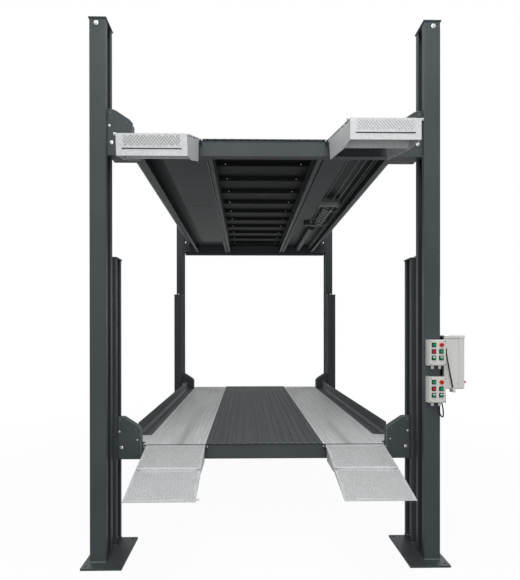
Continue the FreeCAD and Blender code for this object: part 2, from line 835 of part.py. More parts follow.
def cabinet_bracket():
    """The plate from the outer face of the column to the side of the cabinet, with a gland under its edge."""
    near = cabinet_face + bracket_setback
    base = cabinet_base - bracket_below
    plate = box(half_width, cabinet_left, near, near + bracket_thickness, base, cabinet_top - bracket_short)
    end = V(*lower_lead_route[-1])
    gland = bar(end, UP, plate_gland_radius, base - end.z, gland_sides)
    return fuse([plate, gland])


def main_switch():
    """The knob on the right side of the cabinet, on its round collar."""
    place = V(cabinet_right, cabinet_face + cabinet_depth / 2, cabinet_base + switch_height)
    return fuse([bar(place, ACROSS, switch_collar_radius, switch_collar_length, round_sides),
                 bar(place, ACROSS, switch_radius, switch_length, round_sides)])


def elbow():
    """The angled gland on the right side of the upper control box, where the upper lead leaves it."""
    corner = V(*elbow_place)
    run = (V(*upper_lead_route[0]) - corner).normalize()
    stub = bar(V(control_right, corner.y, corner.z), ACROSS, sleeve_radius, corner.x - control_right,
               rope_sides)
    knuckle = box(corner.x - sleeve_radius, corner.x + sleeve_radius, corner.y - sleeve_radius,
                  corner.y + sleeve_radius, corner.z - sleeve_radius, corner.z + sleeve_radius)
    return [stub, knuckle, bar(corner, run, sleeve_radius, sleeve_length, rope_sides)]


def elbow_end():
    corner = V(*elbow_place)
    return corner + (V(*upper_lead_route[0]) - corner).normalize() * sleeve_length


def cable_duct():
    y = front_face + tall_depth / 2
    return box(half_width, half_width + duct_thickness, y - duct_width / 2, y + duct_width / 2, duct_base,
               tall_height)


def lead(name, points):
    """A lead along its route: straight runs, and in each corner the largest arc that they leave room for."""
    edges = []
    radii = []
    last = points[0]
    for before, corner, after in zip(points, points[1:], points[2:]):
        back = before - corner
        ahead = after - corner
        reach = 0.45 * min(back.Length, ahead.Length)
        half_turn = (math.pi - back.getAngle(ahead)) / 2
        radius = reach / math.tan(half_turn)
        back.normalize()
        ahead.normalize()
        first = corner + back * reach
        end = corner + ahead * reach
        bisector = (back + ahead).normalize()
        middle = corner + bisector * (radius / math.cos(half_turn) - radius)
        edges.append(Part.makeLine(last, first))
        edges.append(Part.Arc(first, middle, end).toShape())
        radii.append(round(radius))
        last = end
    edges.append(Part.makeLine(last, points[-1]))
    path = Part.Wire(edges)
    start = (points[1] - points[0]).normalize()
    corners = ring(points[0], start, lead_diameter / 2, lead_sides)
    section = Part.Wire(Part.makePolygon(corners + [corners[0]]))
    print(name, "radii", radii, "length", round(path.Length))
    return path.makePipeShell([section], True, False)


# Base plates, columns, caps and rope anchors
corner_names = ("front_left", "front_right", "rear_left", "rear_right")
save("base_plates", Part.makeCompound(four_corners(base_plate())))
tall = four_corners(column(front_face, tall_depth, tall_height))
short = four_corners(column(short_front, short_depth, short_height))
for name, shape in zip(corner_names, tall):
    save(name + "_tall_column", shape)
for name, shape in zip(corner_names, short):
    save(name + "_short_column", shape)
caps = four_corners(column_cap(front_face, tall_depth, tall_height))
caps += four_corners(column_cap(short_front, short_depth, short_height))
save("column_caps", Part.makeCompound(caps))
anchors = four_corners(rope_anchor(tall_centre, tall_height))
anchors += four_corners(rope_anchor(short_centre, short_height))
save("rope_anchors", Part.makeCompound(anchors))

# The two platforms
upper_hinges = ((-upper_left_centre, upper_tray_width), (upper_right_centre, upper_tray_width))
lower_hinges = ((-lower_left_centre, lower_tray_width), (lower_right_centre, lower_tray_width))
levels = (("upper", tall_centre, upper_deck_top, tall_height, shoe_tall, upper_hinges, upper_rear_beam_depth),
          ("lower", short_centre, lower_deck_top, short_height, shoe_short, lower_hinges, frame_depth))
for level, centre, deck_top, height, shoe_width, hinges, rear_depth in levels:
    beams = [crossbeam(centre, deck_top, frame_depth, hinges),
             endwise(crossbeam(centre, deck_top, rear_depth, ()))]
    save(level + "_crossbeams", Part.makeCompound(beams))
    save(level + "_carriages", Part.makeCompound(four_corners(carriage(centre, deck_top, shoe_width))))
    save(level + "_left_runway", across(runway(centre, deck_top, left_panel_outer, left_panel_end)))
    save(level + "_right_runway", runway(centre, deck_top, right_panel_outer, right_panel_end))
    rails = [inner_rail(centre, deck_top), side_rail(centre, deck_top)]
    rails += [across(r) for r in rails]
    save(level + "_rails", Part.makeCompound(rails))
    save(level + "_centre_deck", centre_deck(centre, deck_top))
    save(level + "_lift_cylinder", lift_cylinder(centre, deck_top))
    save(level + "_rope_guide", Part.makeCompound([rope_guide(deck_top), cross_rod(deck_top)]))
    save(level + "_rope_runs", rope_runs(centre, deck_top))
    save(level + "_column_ropes", Part.makeCompound(four_corners(column_rope(centre, deck_top, height))))

# Ramps and their tips
upper_ramps = (("upper_left", -upper_left_centre, upper_left_droop),
               ("upper_right", upper_right_centre, upper_right_droop))
for name, middle, droop in upper_ramps:
    hinge = ramp_hinge(middle, tall_centre, upper_deck_top)
    save(name + "_ramp", placed(upper_tray(), droop, hinge))
    print(name, "hinge", hinge)
lower_ramps = (("lower_left", -lower_left_centre, lower_left_droop),
               ("lower_right", lower_right_centre, lower_right_droop))
for name, middle, droop in lower_ramps:
    hinge = ramp_hinge(middle, short_centre, lower_deck_top)
    end = tip_hinge(hinge, droop)
    save(name + "_ramp", placed(lower_tray(), droop, hinge))
    save(name + "_ramp_tip", placed(tip(middle < 0), tip_droop, end))
    print(name, "hinge", hinge, "tip hinge", end)

# Controls
save("upper_control_box", fuse([control_box(upper_control_base)] + elbow()))
save("lower_control_box", control_box(lower_control_base))
save("push_buttons", push_buttons())
save("switch_cabinet", switch_cabinet())
save("cabinet_cover", cabinet_cover())
save("cabinet_bracket", cabinet_bracket())
save("main_switch", main_switch())
save("cable_duct", cable_duct())
save("upper_control_lead", lead("upper lead", [elbow_end()] + [V(*p) for p in upper_lead_route]))
save("lower_control_lead", lead("lower lead", [V(*p) for p in lower_lead_route]))
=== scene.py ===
import json
import math

import bmesh
import bpy
import numpy as np
from mathutils import Matrix, Vector


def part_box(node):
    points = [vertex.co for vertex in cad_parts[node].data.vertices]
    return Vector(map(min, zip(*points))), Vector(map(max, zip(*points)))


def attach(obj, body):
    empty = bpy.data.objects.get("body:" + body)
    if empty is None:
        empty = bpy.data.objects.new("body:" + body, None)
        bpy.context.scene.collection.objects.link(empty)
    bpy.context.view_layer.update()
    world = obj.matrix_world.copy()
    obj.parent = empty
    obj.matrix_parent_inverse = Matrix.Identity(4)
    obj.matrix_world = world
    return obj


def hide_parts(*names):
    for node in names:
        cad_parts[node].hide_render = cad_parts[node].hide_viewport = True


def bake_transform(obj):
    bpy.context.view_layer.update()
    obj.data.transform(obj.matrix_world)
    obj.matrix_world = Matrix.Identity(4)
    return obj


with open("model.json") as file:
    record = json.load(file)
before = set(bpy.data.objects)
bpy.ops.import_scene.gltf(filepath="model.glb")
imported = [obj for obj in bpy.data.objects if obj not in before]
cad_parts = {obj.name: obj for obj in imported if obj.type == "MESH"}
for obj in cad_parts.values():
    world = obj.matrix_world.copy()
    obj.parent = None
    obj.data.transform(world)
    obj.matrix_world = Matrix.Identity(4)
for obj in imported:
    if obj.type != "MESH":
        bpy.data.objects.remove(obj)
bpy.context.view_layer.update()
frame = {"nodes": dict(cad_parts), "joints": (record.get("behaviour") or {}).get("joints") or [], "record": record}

nodes = frame["nodes"]

# The photograph's camera, in pixels of its 520 by 580 frame and in metres
PHOTO_WIDTH = 520.0
PHOTO_HEIGHT = 580.0
FOCAL_PX = 463.1
CENTRE_X_PX = 253.5
CENTRE_Y_PX = 331.9
SENSOR_WIDTH = 36.0
CAMERA_PLACE = (-0.1666, -6.3453, 1.9249)
CAMERA_YAW = 0.0165
CAMERA_PITCH = -0.0017
CAMERA_ROLL = -0.0007

# Sizes of the lift, in metres
HALF_WIDTH = 1.457
SLOT_FACE = 1.321
TALL_FRONT = -2.505
TALL_DEPTH = 0.193
SHORT_FRONT = -2.2
SHORT_DEPTH = 0.175
PLATE_TOP = 0.018
SHORT_CAP_TOP = 2.587
DECK_PLATE = 0.005
DECK_OVERHANG = 0.008
BEAM_HALF_DEPTH = 0.0365
GUSSET_HALF_DEPTH = 0.0425
PAN_PITCH = 0.43
PAN_LIP_FACE = 0.007
PAN_RIVET_DROP = 0.016
PAN_RIVET_X = 0.36
RUNWAY_INNER = 0.533
RUNWAY_OUTER = 1.07
DECK_TOPS = {"upper": 3.532, "lower": 0.905}
BEAM_CENTRES = {"upper": -2.4085, "lower": -2.1125}
HINGE_RISE = 0.018
HINGE_FORWARD = 0.031
# HINGE_SHADOW and TIP_BARREL: how far in front of its hinge line the painted shadow on a ramp and the painted
# highlight on a tip's barrel begin
HINGE_SHADOW = 0.008
TIP_HINGE_Y = -2.6014
TIP_BARREL = 0.003
TIP_PLATE_DROP = -0.005
LEAD_DIAMETER = 0.011

# How far each ramp and tip hangs down from level at rest, in degrees
DROOPS = {"upper_left_ramp": 20.65, "upper_right_ramp": 13.7, "lower_left_ramp": 12.9,
          "lower_right_ramp": 12.75, "lower_left_tip": 15.28, "lower_right_tip": 15.28}

# Each control lead as the points of its route
UPPER_LEAD_ROUTE = ((1.49656, -2.52772, 1.74855), (1.506, -2.523, 1.700), (1.540, -2.505, 1.560),
                    (1.568, -2.492, 1.452))
LOWER_LEAD_ROUTE = ((1.432, -2.547, 1.308), (1.432, -2.547, 1.282), (1.434, -2.547, 1.248),
                    (1.446, -2.541, 1.221), (1.470, -2.521, 1.207), (1.489, -2.489, 1.215),
                    (1.500, -2.462, 1.243), (1.502, -2.448, 1.282), (1.492, -2.445, 1.328),
                    (1.485, -2.445, 1.345), (1.485, -2.445, 1.363))


def srgb(red, green, blue):
    """A colour written as 0 to 255 values, as linear light."""
    value = np.array([red, green, blue]) / 255.0
    linear = np.where(value <= 0.04045, value / 12.92, ((value + 0.055) / 1.055) ** 2.4)
    return (*(float(v) for v in linear), 1.0)


def shade(colour, factor):
    """A colour with its three values times a factor."""
    return (colour[0] * factor, colour[1] * factor, colour[2] * factor, 1.0)


# Camera
def make_camera():
    data = bpy.data.cameras.new("camera")
    data.sensor_fit = "HORIZONTAL"
    data.sensor_width = SENSOR_WIDTH
    data.lens = FOCAL_PX * SENSOR_WIDTH / PHOTO_WIDTH
    data.shift_x = (PHOTO_WIDTH / 2 - CENTRE_X_PX) / PHOTO_WIDTH
    data.shift_y = (CENTRE_Y_PX - PHOTO_HEIGHT / 2) / PHOTO_WIDTH
    data.clip_end = 200.0
    camera = bpy.data.objects.new("camera", data)
    bpy.context.scene.collection.objects.link(camera)
    turn = Matrix.Rotation(-CAMERA_YAW, 4, "Z") @ Matrix.Rotation(math.pi / 2 + CAMERA_PITCH, 4, "X")
    camera.matrix_world = Matrix.Translation(CAMERA_PLACE) @ turn @ Matrix.Rotation(CAMERA_ROLL, 4, "Z")
    bpy.context.scene.camera = camera


# Materials
class Finish:
    """A node material with one Principled shader, and short ways to add nodes to it."""

    def __init__(self, name, colour, roughness, metallic=0.0, specular=0.5):
        self.material = bpy.data.materials.new(name)
        self.material.use_nodes = True
        self.tree = self.material.node_tree
        self.shader = self.tree.nodes["Principled BSDF"]
        self.shader.inputs["Base Color"].default_value = colour
        self.shader.inputs["Roughness"].default_value = roughness
        self.shader.inputs["Metallic"].default_value = metallic
        self.shader.inputs["Specular IOR Level"].default_value = specular
        self.place = self.node("ShaderNodeTexCoord").outputs["Object"]

    def node(self, kind, **values):
        made = self.tree.nodes.new(kind)
        for key, value in values.items():
            setattr(made, key, value)
        return made

    def link(self, source, target):
        if isinstance(source, (int, float, tuple)):
            target.default_value = source
        else:
            self.tree.links.new(source, target)

    def stretched(self, stretch):
        mapping = self.node("ShaderNodeMapping")
        mapping.inputs["Scale"].default_value = stretch
        self.link(self.place, mapping.inputs["Vector"])
        return mapping.outputs["Vector"]

    def noise(self, scale, detail=3.0, stretch=(1.0, 1.0, 1.0)):
        made = self.node("ShaderNodeTexNoise")
        made.inputs["Scale"].default_value = scale
        made.inputs["Detail"].default_value = detail
        self.link(self.stretched(stretch), made.inputs["Vector"])
        return made.outputs["Fac"]

    def spangle(self, scale):
        made = self.node("ShaderNodeTexVoronoi")
        made.inputs["Scale"].default_value = scale
        self.link(self.place, made.inputs["Vector"])
        return made.outputs["Color"]

    def axes(self):
        split = self.node("ShaderNodeSeparateXYZ")
        self.link(self.place, split.inputs[0])
        return split.outputs

    def maths(self, operation, *values, clamp=False):
        made = self.node("ShaderNodeMath", operation=operation, use_clamp=clamp)
        for value, socket in zip(values, made.inputs):
            self.link(value, socket)
        return made.outputs[0]

    def mix(self, share, first, second, blend="MIX"):
        made = self.node("ShaderNodeMix", data_type="RGBA", blend_type=blend)
        self.link(share, made.inputs["Factor"])
        self.link(first, made.inputs[6])
        self.link(second, made.inputs[7])
        return made.outputs[2]

    def ramp(self, source, stops):
        made = self.node("ShaderNodeValToRGB")
        elements = made.color_ramp.elements
        elements[0].position, elements[0].color = stops[0]
        elements[1].position, elements[1].color = stops[-1]
        for position, colour in stops[1:-1]:
            elements.new(position).color = colour
        self.link(source, made.inputs["Fac"])
        return made.outputs["Color"]

    def cloudy(self, source, colour, darkest, palest):
        """A colour that goes from its darkest to its palest shade as the source rises."""
        return self.ramp(source, [(0.3, shade(colour, darkest)), (0.7, shade(colour, palest))])

    def spread(self, source, low, high):
        made = self.node("ShaderNodeMapRange")
        made.inputs["To Min"].default_value = low
        made.inputs["To Max"].default_value = high
        self.link(source, made.inputs["Value"])
        return made.outputs["Result"]

    def colour(self, source):
        self.link(source, self.shader.inputs["Base Color"])

    def roughness(self, source):
        self.link(source, self.shader.inputs["Roughness"])

    def bump(self, source, strength, distance):
        made = self.node("ShaderNodeBump")
        made.inputs["Strength"].default_value = strength
        made.inputs["Distance"].default_value = distance
        self.link(source, made.inputs["Height"])
        self.link(made.outputs["Normal"], self.shader.inputs["Normal"])


def powder_coat(name, colour, specular=0.12):
    """Satin powder coat: a faint cloudiness of tone, and the skin of an orange in its gloss."""
    finish = Finish(name, colour, 0.4, 0.0, specular)
    coat = finish.cloudy(finish.noise(2.3), colour, 0.92, 1.1)
    dust = finish.noise(38.0, 4.0)
    finish.colour(finish.mix(finish.spread(dust, 0.0, 0.16), coat, shade(colour, 1.35)))
    finish.roughness(finish.spread(finish.noise(9.0), 0.42, 0.58))
    finish.bump(finish.noise(420.0, 2.0), 0.12, 0.001)
    return finish.material


def striped_deck_paint(name, colour, deck_top):
    """Painted deck sheet with fine light and dark stripes along the lift, and painted shade on its underside."""
    finish = Finish(name, colour, 0.5, 0.0, 0.06)
    stripes = finish.noise(1.0, 4.0, (55.0, 0.5, 4.0))
    striped = finish.ramp(stripes, [(0.25, shade(colour, 0.72)), (0.5, colour),
                                    (0.75, shade(colour, 1.35))])
    _, _, z = finish.axes()
    # Painted shade: under the top face the paint is darkened to 0.22 of its lightness
    beneath = finish.maths("LESS_THAN", z, deck_top - DECK_PLATE / 2)
    finish.colour(finish.mix(beneath, striped, shade(colour, 0.22)))
    finish.roughness(finish.spread(finish.noise(9.0), 0.48, 0.62))
    finish.bump(finish.noise(420.0, 2.0), 0.1, 0.001)
    return finish.material


def galvanised(name, colour, edge=None, edge_y=0.0):
    """Hot dip galvanising: soft grey spangle with darker clouds. Behind edge_y, at a hinge, it takes the
    edge's colour: painted shadow behind a ramp's hinge, and a painted highlight on a tip's barrel."""
    finish = Finish(name, colour, 0.5, 0.05, 0.3)
    spangle = finish.ramp(finish.spangle(70.0), [(0.0, shade(colour, 0.9)), (1.0, shade(colour, 1.1))])
    zinc = finish.mix(finish.spread(finish.noise(5.0), 0.0, 0.24), spangle, shade(colour, 0.72))
    if edge is not None:
        _, y, _ = finish.axes()
        zinc = finish.mix(finish.maths("GREATER_THAN", y, edge_y), zinc, edge)
    finish.colour(zinc)
    finish.roughness(finish.spread(finish.noise(14.0), 0.4, 0.6))
    finish.bump(finish.noise(160.0, 2.0), 0.08, 0.0008)
    return finish.material


# The darker wheel track on each runway: its middle and half width across the lift, where it ends and how
# far it fades along it, in metres, and its greatest share
TRACK_MIDDLE = 0.756
TRACK_HALF_WIDTH = 0.07
TRACK_END = -0.4
TRACK_FADE = 1.6
TRACK_SHARE = 0.7


def rolled_runway(name, colour, paint, deck_top):
    """Galvanised runway sheet with streaks from rolling along the lift, and paint on all that is under it.
    The wheel track's share falls in a straight line with the distance from its middle, which is as far out
    on both sides of the lift, and it fades in a straight line towards the track's end."""
    finish = Finish(name, colour, 0.45, 0.0, 0.14)
    streaks = finish.noise(1.0, 5.0, (70.0, 1.1, 9.0))
    sheet = finish.ramp(streaks, [(0.28, shade(colour, 0.84)), (0.5, shade(colour, 1.1)),
                                  (0.74, shade(colour, 1.3))])
    spangle = finish.mix(0.35, sheet, finish.spangle(70.0), "SOFT_LIGHT")
    x, y, z = finish.axes()
    from_middle = finish.maths("SUBTRACT", finish.maths("ABSOLUTE", x), TRACK_MIDDLE)
    off_track = finish.maths("DIVIDE", finish.maths("ABSOLUTE", from_middle), TRACK_HALF_WIDTH)
    track = finish.maths("SUBTRACT", 1.0, off_track, clamp=True)
    near_front = finish.maths("DIVIDE", finish.maths("SUBTRACT", TRACK_END, y), TRACK_FADE, clamp=True)
    share = finish.maths("MULTIPLY", finish.maths("MULTIPLY", track, near_front), TRACK_SHARE)
    tracked = finish.mix(share, spangle, shade(colour, 0.4))
    beneath = finish.maths("LESS_THAN", z, deck_top - DECK_PLATE / 2)
    finish.colour(finish.mix(beneath, tracked, finish.cloudy(finish.noise(2.3), paint, 0.9, 1.12)))
    uneven = finish.maths("MULTIPLY", streaks, finish.maths("SUBTRACT", 1.0, beneath))
    finish.roughness(finish.maths("SUBTRACT", 0.58, finish.maths("MULTIPLY", uneven, 0.3)))
    finish.bump(finish.noise(160.0, 2.0), 0.06, 0.0008)
    return finish.material


def bright_metal(name, colour, roughness):
    """Zinc plate or drawn steel: fine scratches across a bright, slightly cloudy surface."""
    finish = Finish(name, colour, roughness, 0.8, 0.5)
    finish.colour(finish.cloudy(finish.noise(30.0), colour, 0.84, 1.06))
    finish.roughness(finish.spread(finish.noise(60.0, 4.0), roughness - 0.06, roughness + 0.14))
    finish.bump(finish.noise(700.0, 2.0), 0.06, 0.0004)
    return finish.material


def stranded_rope(name, colour):
    """Greased wire rope: slanting bands of strands, with painted shade in the grooves between them."""
    finish = Finish(name, colour, 0.42, 0.6, 0.5)
    strands = finish.node("ShaderNodeTexWave", wave_type="BANDS", bands_direction="DIAGONAL")
    strands.inputs["Scale"].default_value = 90.0
    strands.inputs["Distortion"].default_value = 0.6
    finish.link(finish.place, strands.inputs["Vector"])
    band = strands.outputs["Fac"]
    finish.colour(finish.ramp(band, [(0.1, shade(colour, 0.35)), (0.6, shade(colour, 1.1))]))
    finish.bump(band, 0.5, 0.001)
    return finish.material


def moulded(name, colour, grain=300.0, roughness=0.42, specular=0.5):
    """Moulded plastic: fine grain and a little uneven tone."""
    finish = Finish(name, colour, roughness, 0.0, specular)
    finish.colour(finish.cloudy(finish.noise(7.0), colour, 0.94, 1.05))
    finish.roughness(finish.spread(finish.noise(40.0), roughness - 0.06, roughness + 0.08))
    finish.bump(finish.noise(grain, 2.0), 0.08, 0.0006)
    return finish.material


def housing(name, colour, trim, trim_from_x=2.0, trim_below_z=0.0):
    """A grey housing with a trim colour further out than one x, for an elbow, and under one z, for a sleeve.
    Without them both lie outside the lift, and it has no trim."""
    finish = Finish(name, colour, 0.42)
    x, _, z = finish.axes()
    tone = finish.cloudy(finish.noise(5.0, 3.0, (3.0, 3.0, 0.4)), colour, 0.92, 1.04)
    outside = finish.maths("GREATER_THAN", x, trim_from_x)
    beneath = finish.maths("LESS_THAN", z, trim_below_z)
    finish.colour(finish.mix(finish.maths("MAXIMUM", outside, beneath), tone, trim))
    finish.roughness(finish.spread(finish.noise(40.0), 0.36, 0.5))
    finish.bump(finish.noise(300.0, 2.0), 0.08, 0.0006)
    return finish.material


# Where the push buttons lie, in metres: the x between the two in a row, the heights of the rows in the upper
# and lower box, how far a row reaches up and down, how far above its row a pale upper half has its middle
# and how far that reaches, and the y between the caps and their bezels
BUTTON_SPLIT_X = 1.3985
BUTTON_ROWS = {"stop": (1.8115, 1.5075), "middle": (1.7575, 1.4535), "bottom": (1.7045, 1.4005)}
BUTTON_REACH = 0.022
BUTTON_TOP_HALF = (0.0115, 0.0075)
BEZEL_FACE = -2.5943


def button_colours(name, green, pale, red, yellow, black):
    """Each button's colour from where it lies. The stop button at the top right is red on a yellow collar,
    the middle one at the left is red too, the bottom row has pale upper halves, and the bezels are black."""
    finish = Finish(name, green, 0.3, 0.0, 0.2)
    x, y, z = finish.axes()
    left = finish.maths("LESS_THAN", x, BUTTON_SPLIT_X)
    right = finish.maths("SUBTRACT", 1.0, left)
    row = {}
    for place, heights in BUTTON_ROWS.items():
        found = [finish.maths("COMPARE", z, height, BUTTON_REACH) for height in heights]
        row[place] = finish.maths("MAXIMUM", *found)
    stop = finish.maths("MULTIPLY", row["stop"], right)
    tone = finish.cloudy(finish.noise(90.0), green, 0.85, 1.15)
    upper_halves = [finish.maths("COMPARE", z, height + BUTTON_TOP_HALF[0], BUTTON_TOP_HALF[1])
                    for height in BUTTON_ROWS["bottom"]]
    tone = finish.mix(finish.maths("MAXIMUM", *upper_halves), tone, pale)
    tone = finish.mix(finish.maths("MULTIPLY", row["middle"], left), tone, red)
    tone = finish.mix(stop, tone, red)
    behind = finish.maths("GREATER_THAN", y, BEZEL_FACE)
    tone = finish.mix(behind, tone, finish.mix(stop, black, yellow))
    finish.colour(tone)
    finish.roughness(finish.spread(finish.noise(120.0), 0.25, 0.4))
    return finish.material


# The x where the main switch's collar ends, the x where a control box's elbow starts, and the z at the top
# of the cabinet's cable sleeve, in metres
SWITCH_COLLAR_END = 1.6782
BOX_ELBOW_X = 1.4725
CABINET_SLEEVE_TOP = 1.412


def switch_colours(name, red, yellow):
    """A red switch handle on a yellow collar that ends at one x."""
    finish = Finish(name, red, 0.3)
    x, _, _ = finish.axes()
    tone = finish.cloudy(finish.noise(90.0), red, 0.85, 1.15)
    finish.colour(finish.mix(finish.maths("LESS_THAN", x, SWITCH_COLLAR_END), tone, yellow))
    return finish.material


PAINT = srgb(67, 72, 74)
DECK_PAINT = srgb(72, 76, 78)
GALVANISED = srgb(203, 205, 206)
ZINC_HIGHLIGHT = srgb(240, 241, 242)
BLACK = srgb(5, 5, 6)
YELLOW = srgb(226, 176, 40)
RED = srgb(184, 24, 34)
PALE_CAP = srgb(222, 228, 218)
HOUSING_GREY = srgb(210, 211, 207)

anthracite = powder_coat("anthracite_paint", PAINT)
# Painted highlight: the anthracite paint at twice its lightness, for beads and small heads that catch the light
edge_highlight_paint = powder_coat("anthracite_edge_highlight_paint", shade(PAINT, 2.0))
black_paint = powder_coat("black_paint", BLACK, specular=0.02)
zinc_grey = galvanised("galvanised_steel", GALVANISED)
# Painted shade: the tread bars are darker copies of the galvanising, for the shade on their slopes
shaded_bar_zinc = galvanised("shaded_bar_galvanising", shade(GALVANISED, 0.62))
runway_shaded_bar_zinc = galvanised("runway_shaded_bar_galvanising", shade(GALVANISED, 0.8))
lip_shaded_bar_zinc = galvanised("lip_shaded_bar_galvanising", shade(GALVANISED, 0.4))
# Painted highlight: the anthracite paint at 2.6 times its lightness, for the light caught by the foot welds
weld_highlight_paint = powder_coat("weld_highlight_paint", shade(PAINT, 2.6))
bright_steel = bright_metal("bright_steel", srgb(208, 208, 206), roughness=0.28)
gear_steel = bright_metal("lift_gear_steel", srgb(92, 96, 96), roughness=0.45)
ring_steel = bright_metal("rope_ring_steel", srgb(120, 124, 124), roughness=0.4)
gear_paint = powder_coat("lift_cylinder_paint", shade(PAINT, 0.8))
# The deck paint half again as light, for the deck edge strips
paler_strip_paint = powder_coat("paler_deck_strip_paint", shade(DECK_PAINT, 1.5))
# Painted highlight: near-white zinc along the tip's hinge barrel
tip_zinc = galvanised("tip_zinc", GALVANISED, ZINC_HIGHLIGHT, TIP_HINGE_Y - TIP_BARREL)
wire_rope = stranded_rope("wire_rope", srgb(84, 86, 86))
box_grey = housing("control_box_grey", HOUSING_GREY, BLACK, trim_from_x=BOX_ELBOW_X)
cabinet_grey = housing("cabinet_grey", HOUSING_GREY, BLACK, trim_below_z=CABINET_SLEEVE_TOP)
button_finish = button_colours("push_buttons", srgb(4, 140, 92), PALE_CAP, RED, YELLOW, BLACK)
switch_finish = switch_colours("red_switch", RED, YELLOW)
cable_black = moulded("black_cable", srgb(10, 10, 11), grain=900.0, roughness=0.5, specular=0.06)
handle_red = moulded("red_handle", RED, roughness=0.35)
screw_grey = moulded("screw_grey", srgb(70, 72, 74), grain=600.0, roughness=0.4)

slot_finishes = {"anthracite_paint": anthracite, "black_paint": black_paint, "galvanised_steel": zinc_grey,
                 "bright_steel": bright_steel, "wire_rope": wire_rope, "light_grey_enclosure": cabinet_grey,
                 "push_button": button_finish, "red_switch": switch_finish, "black_cable": cable_black}
node_finishes = {"upper_control_box": box_grey, "lower_control_box": box_grey}
for deck, deck_top in DECK_TOPS.items():
    hinge_y = BEAM_CENTRES[deck] - BEAM_HALF_DEPTH - HINGE_FORWARD
    runway_zinc = rolled_runway(deck + "_runway_sheet", GALVANISED, PAINT, deck_top)
    # Painted shadow: the ramp's plate turns black behind a line just in front of its hinge, for the dark gap there
    ramp_zinc = galvanised(deck + "_ramp_zinc", GALVANISED, BLACK, hinge_y - HINGE_SHADOW)
    node_finishes[deck + "_centre_deck"] = striped_deck_paint(deck + "_deck_paint", DECK_PAINT, deck_top)
    for side in ("left", "right"):
        node_finishes[f"{deck}_{side}_runway"] = runway_zinc
        node_finishes[f"{deck}_{side}_ramp"] = ramp_zinc
    node_finishes[deck + "_lift_cylinder"] = gear_paint
    node_finishes[deck + "_rope_guide"] = gear_steel
for side in ("left", "right"):
    node_finishes[f"lower_{side}_ramp_tip"] = tip_zinc
for part in frame["record"]["subparts"]:
    mesh = nodes[part["node"]].data
    mesh.materials.clear()
    mesh.materials.append(node_finishes.get(part["node"], slot_finishes[part["material_slot"]]))


# Control leads
def make_lead(name, route):
    """A round lead whose centreline is a smooth NURBS line through the space of its route's points."""
    data = bpy.data.curves.new(name + "_line", "CURVE")
    data.dimensions = "3D"
    spline = data.splines.new("NURBS")
    spline.points.add(len(route) - 1)
    spline.points.foreach_set("co", np.column_stack([np.array(route), np.ones(len(route))]).ravel())
    spline.order_u = 3
    spline.use_endpoint_u = True
    spline.resolution_u = 12
    data.bevel_depth = LEAD_DIAMETER / 2
    data.bevel_resolution = 4
    data.use_fill_caps = True
    data.materials.append(cable_black)
    lead = bpy.data.objects.new(name + "_line", data)
    bpy.context.scene.collection.objects.link(lead)
    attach(lead, "frame")
    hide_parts(name)


make_camera()
make_lead("upper_control_lead", UPPER_LEAD_ROUTE)
make_lead("lower_control_lead", LOWER_LEAD_ROUTE)


# Surfaces: a shape is its points, one row each, and its faces of four corners
MERGE_DISTANCE = 1e-6


def grid_faces(rows, columns):
    """The faces between neighbouring rows of a grid of points whose last column joins its first."""
    row = np.arange(rows - 1)[:, None]
    column = np.arange(columns)[None, :]
    after = (column + 1) % columns
    corners = (row * columns + column, row * columns + after, (row + 1) * columns + after,
               (row + 1) * columns + column)
    return np.stack(np.broadcast_arrays(*corners), axis=-1).reshape(-1, 4)


def joined(shapes):
    """Several shapes as one: their points in a row, and each one's faces counted on from those before it."""
    counts = np.cumsum([0] + [len(points) for points, _ in shapes[:-1]])
    return (np.concatenate([points for points, _ in shapes]),
            np.concatenate([faces + count for count, (_, faces) in zip(counts, shapes)]))


def mirrored(shape, signs):
    """A shape with each coordinate times its sign. An odd number of mirrors turns the faces round again."""
    points, faces = shape
    signs = np.array(signs)
    return points * signs, faces if np.prod(signs) > 0 else faces[:, ::-1]


def moved(shape, place, axis=(0.0, 0.0, 1.0)):
    """A shape whose own z is turned to lie along axis and whose own origin is moved to place."""
    turn = Vector((0.0, 0.0, 1.0)).rotation_difference(Vector(axis)).to_matrix()
    return shape[0] @ np.array(turn).T + np.array(place), shape[1]


def turned(stations, sides):
    """A closed shape turned about z: at each station (radius, height) and angle t the point is
    (radius cos t, radius sin t, height), and the first and last stations have no radius."""
    radius, height = np.array(stations).T
    angle = np.arange(sides) * 2 * math.pi / sides
    points = np.stack([radius[:, None] * np.cos(angle), radius[:, None] * np.sin(angle),
                       np.broadcast_to(height[:, None], (len(radius), sides))], axis=-1)
    return points.reshape(-1, 3), grid_faces(len(radius), sides)


def carried(profile, path, up):
    """A closed bar: the profile (side, rise) carried along a path. Side is square to the path and to up,
    rise is along up, and each end closes on the middle of its profile."""
    path = np.array(path)
    ahead = np.gradient(path, axis=0)
    ahead /= np.linalg.norm(ahead, axis=1)[:, None]
    side = np.cross(np.array(up), ahead)
    side /= np.linalg.norm(side, axis=1)[:, None]
    profile = np.array(profile)
    rings = (path[:, None] + profile[None, :, :1] * side[:, None] + profile[None, :, 1:] * np.array(up))
    first = np.broadcast_to(rings[0].mean(0), rings[0].shape)
    last = np.broadcast_to(rings[-1].mean(0), rings[-1].shape)
    rings = np.concatenate([first[None], rings, last[None]])
    return rings.reshape(-1, 3), grid_faces(len(rings), len(profile))


def rounded(corner_list, radius, steps=8):
    """A path through corners, each one rounded: from the point one radius before it to the point one radius
    after it, along (1-t)(1-t) before + 2t(1-t) corner + tt after."""
    points = [np.array(point, float) for point in corner_list]
    path = [points[0][None]]
    t = np.linspace(0.0, 1.0, steps)[:, None]
    for before, corner, after in zip(points, points[1:], points[2:]):
        start = corner + (before - corner) / np.linalg.norm(before - corner) * radius
        end = corner + (after - corner) / np.linalg.norm(after - corner) * radius
        path.append((1 - t) ** 2 * start + 2 * t * (1 - t) * corner + t ** 2 * end)
    path.append(points[-1][None])
    return np.concatenate(path)


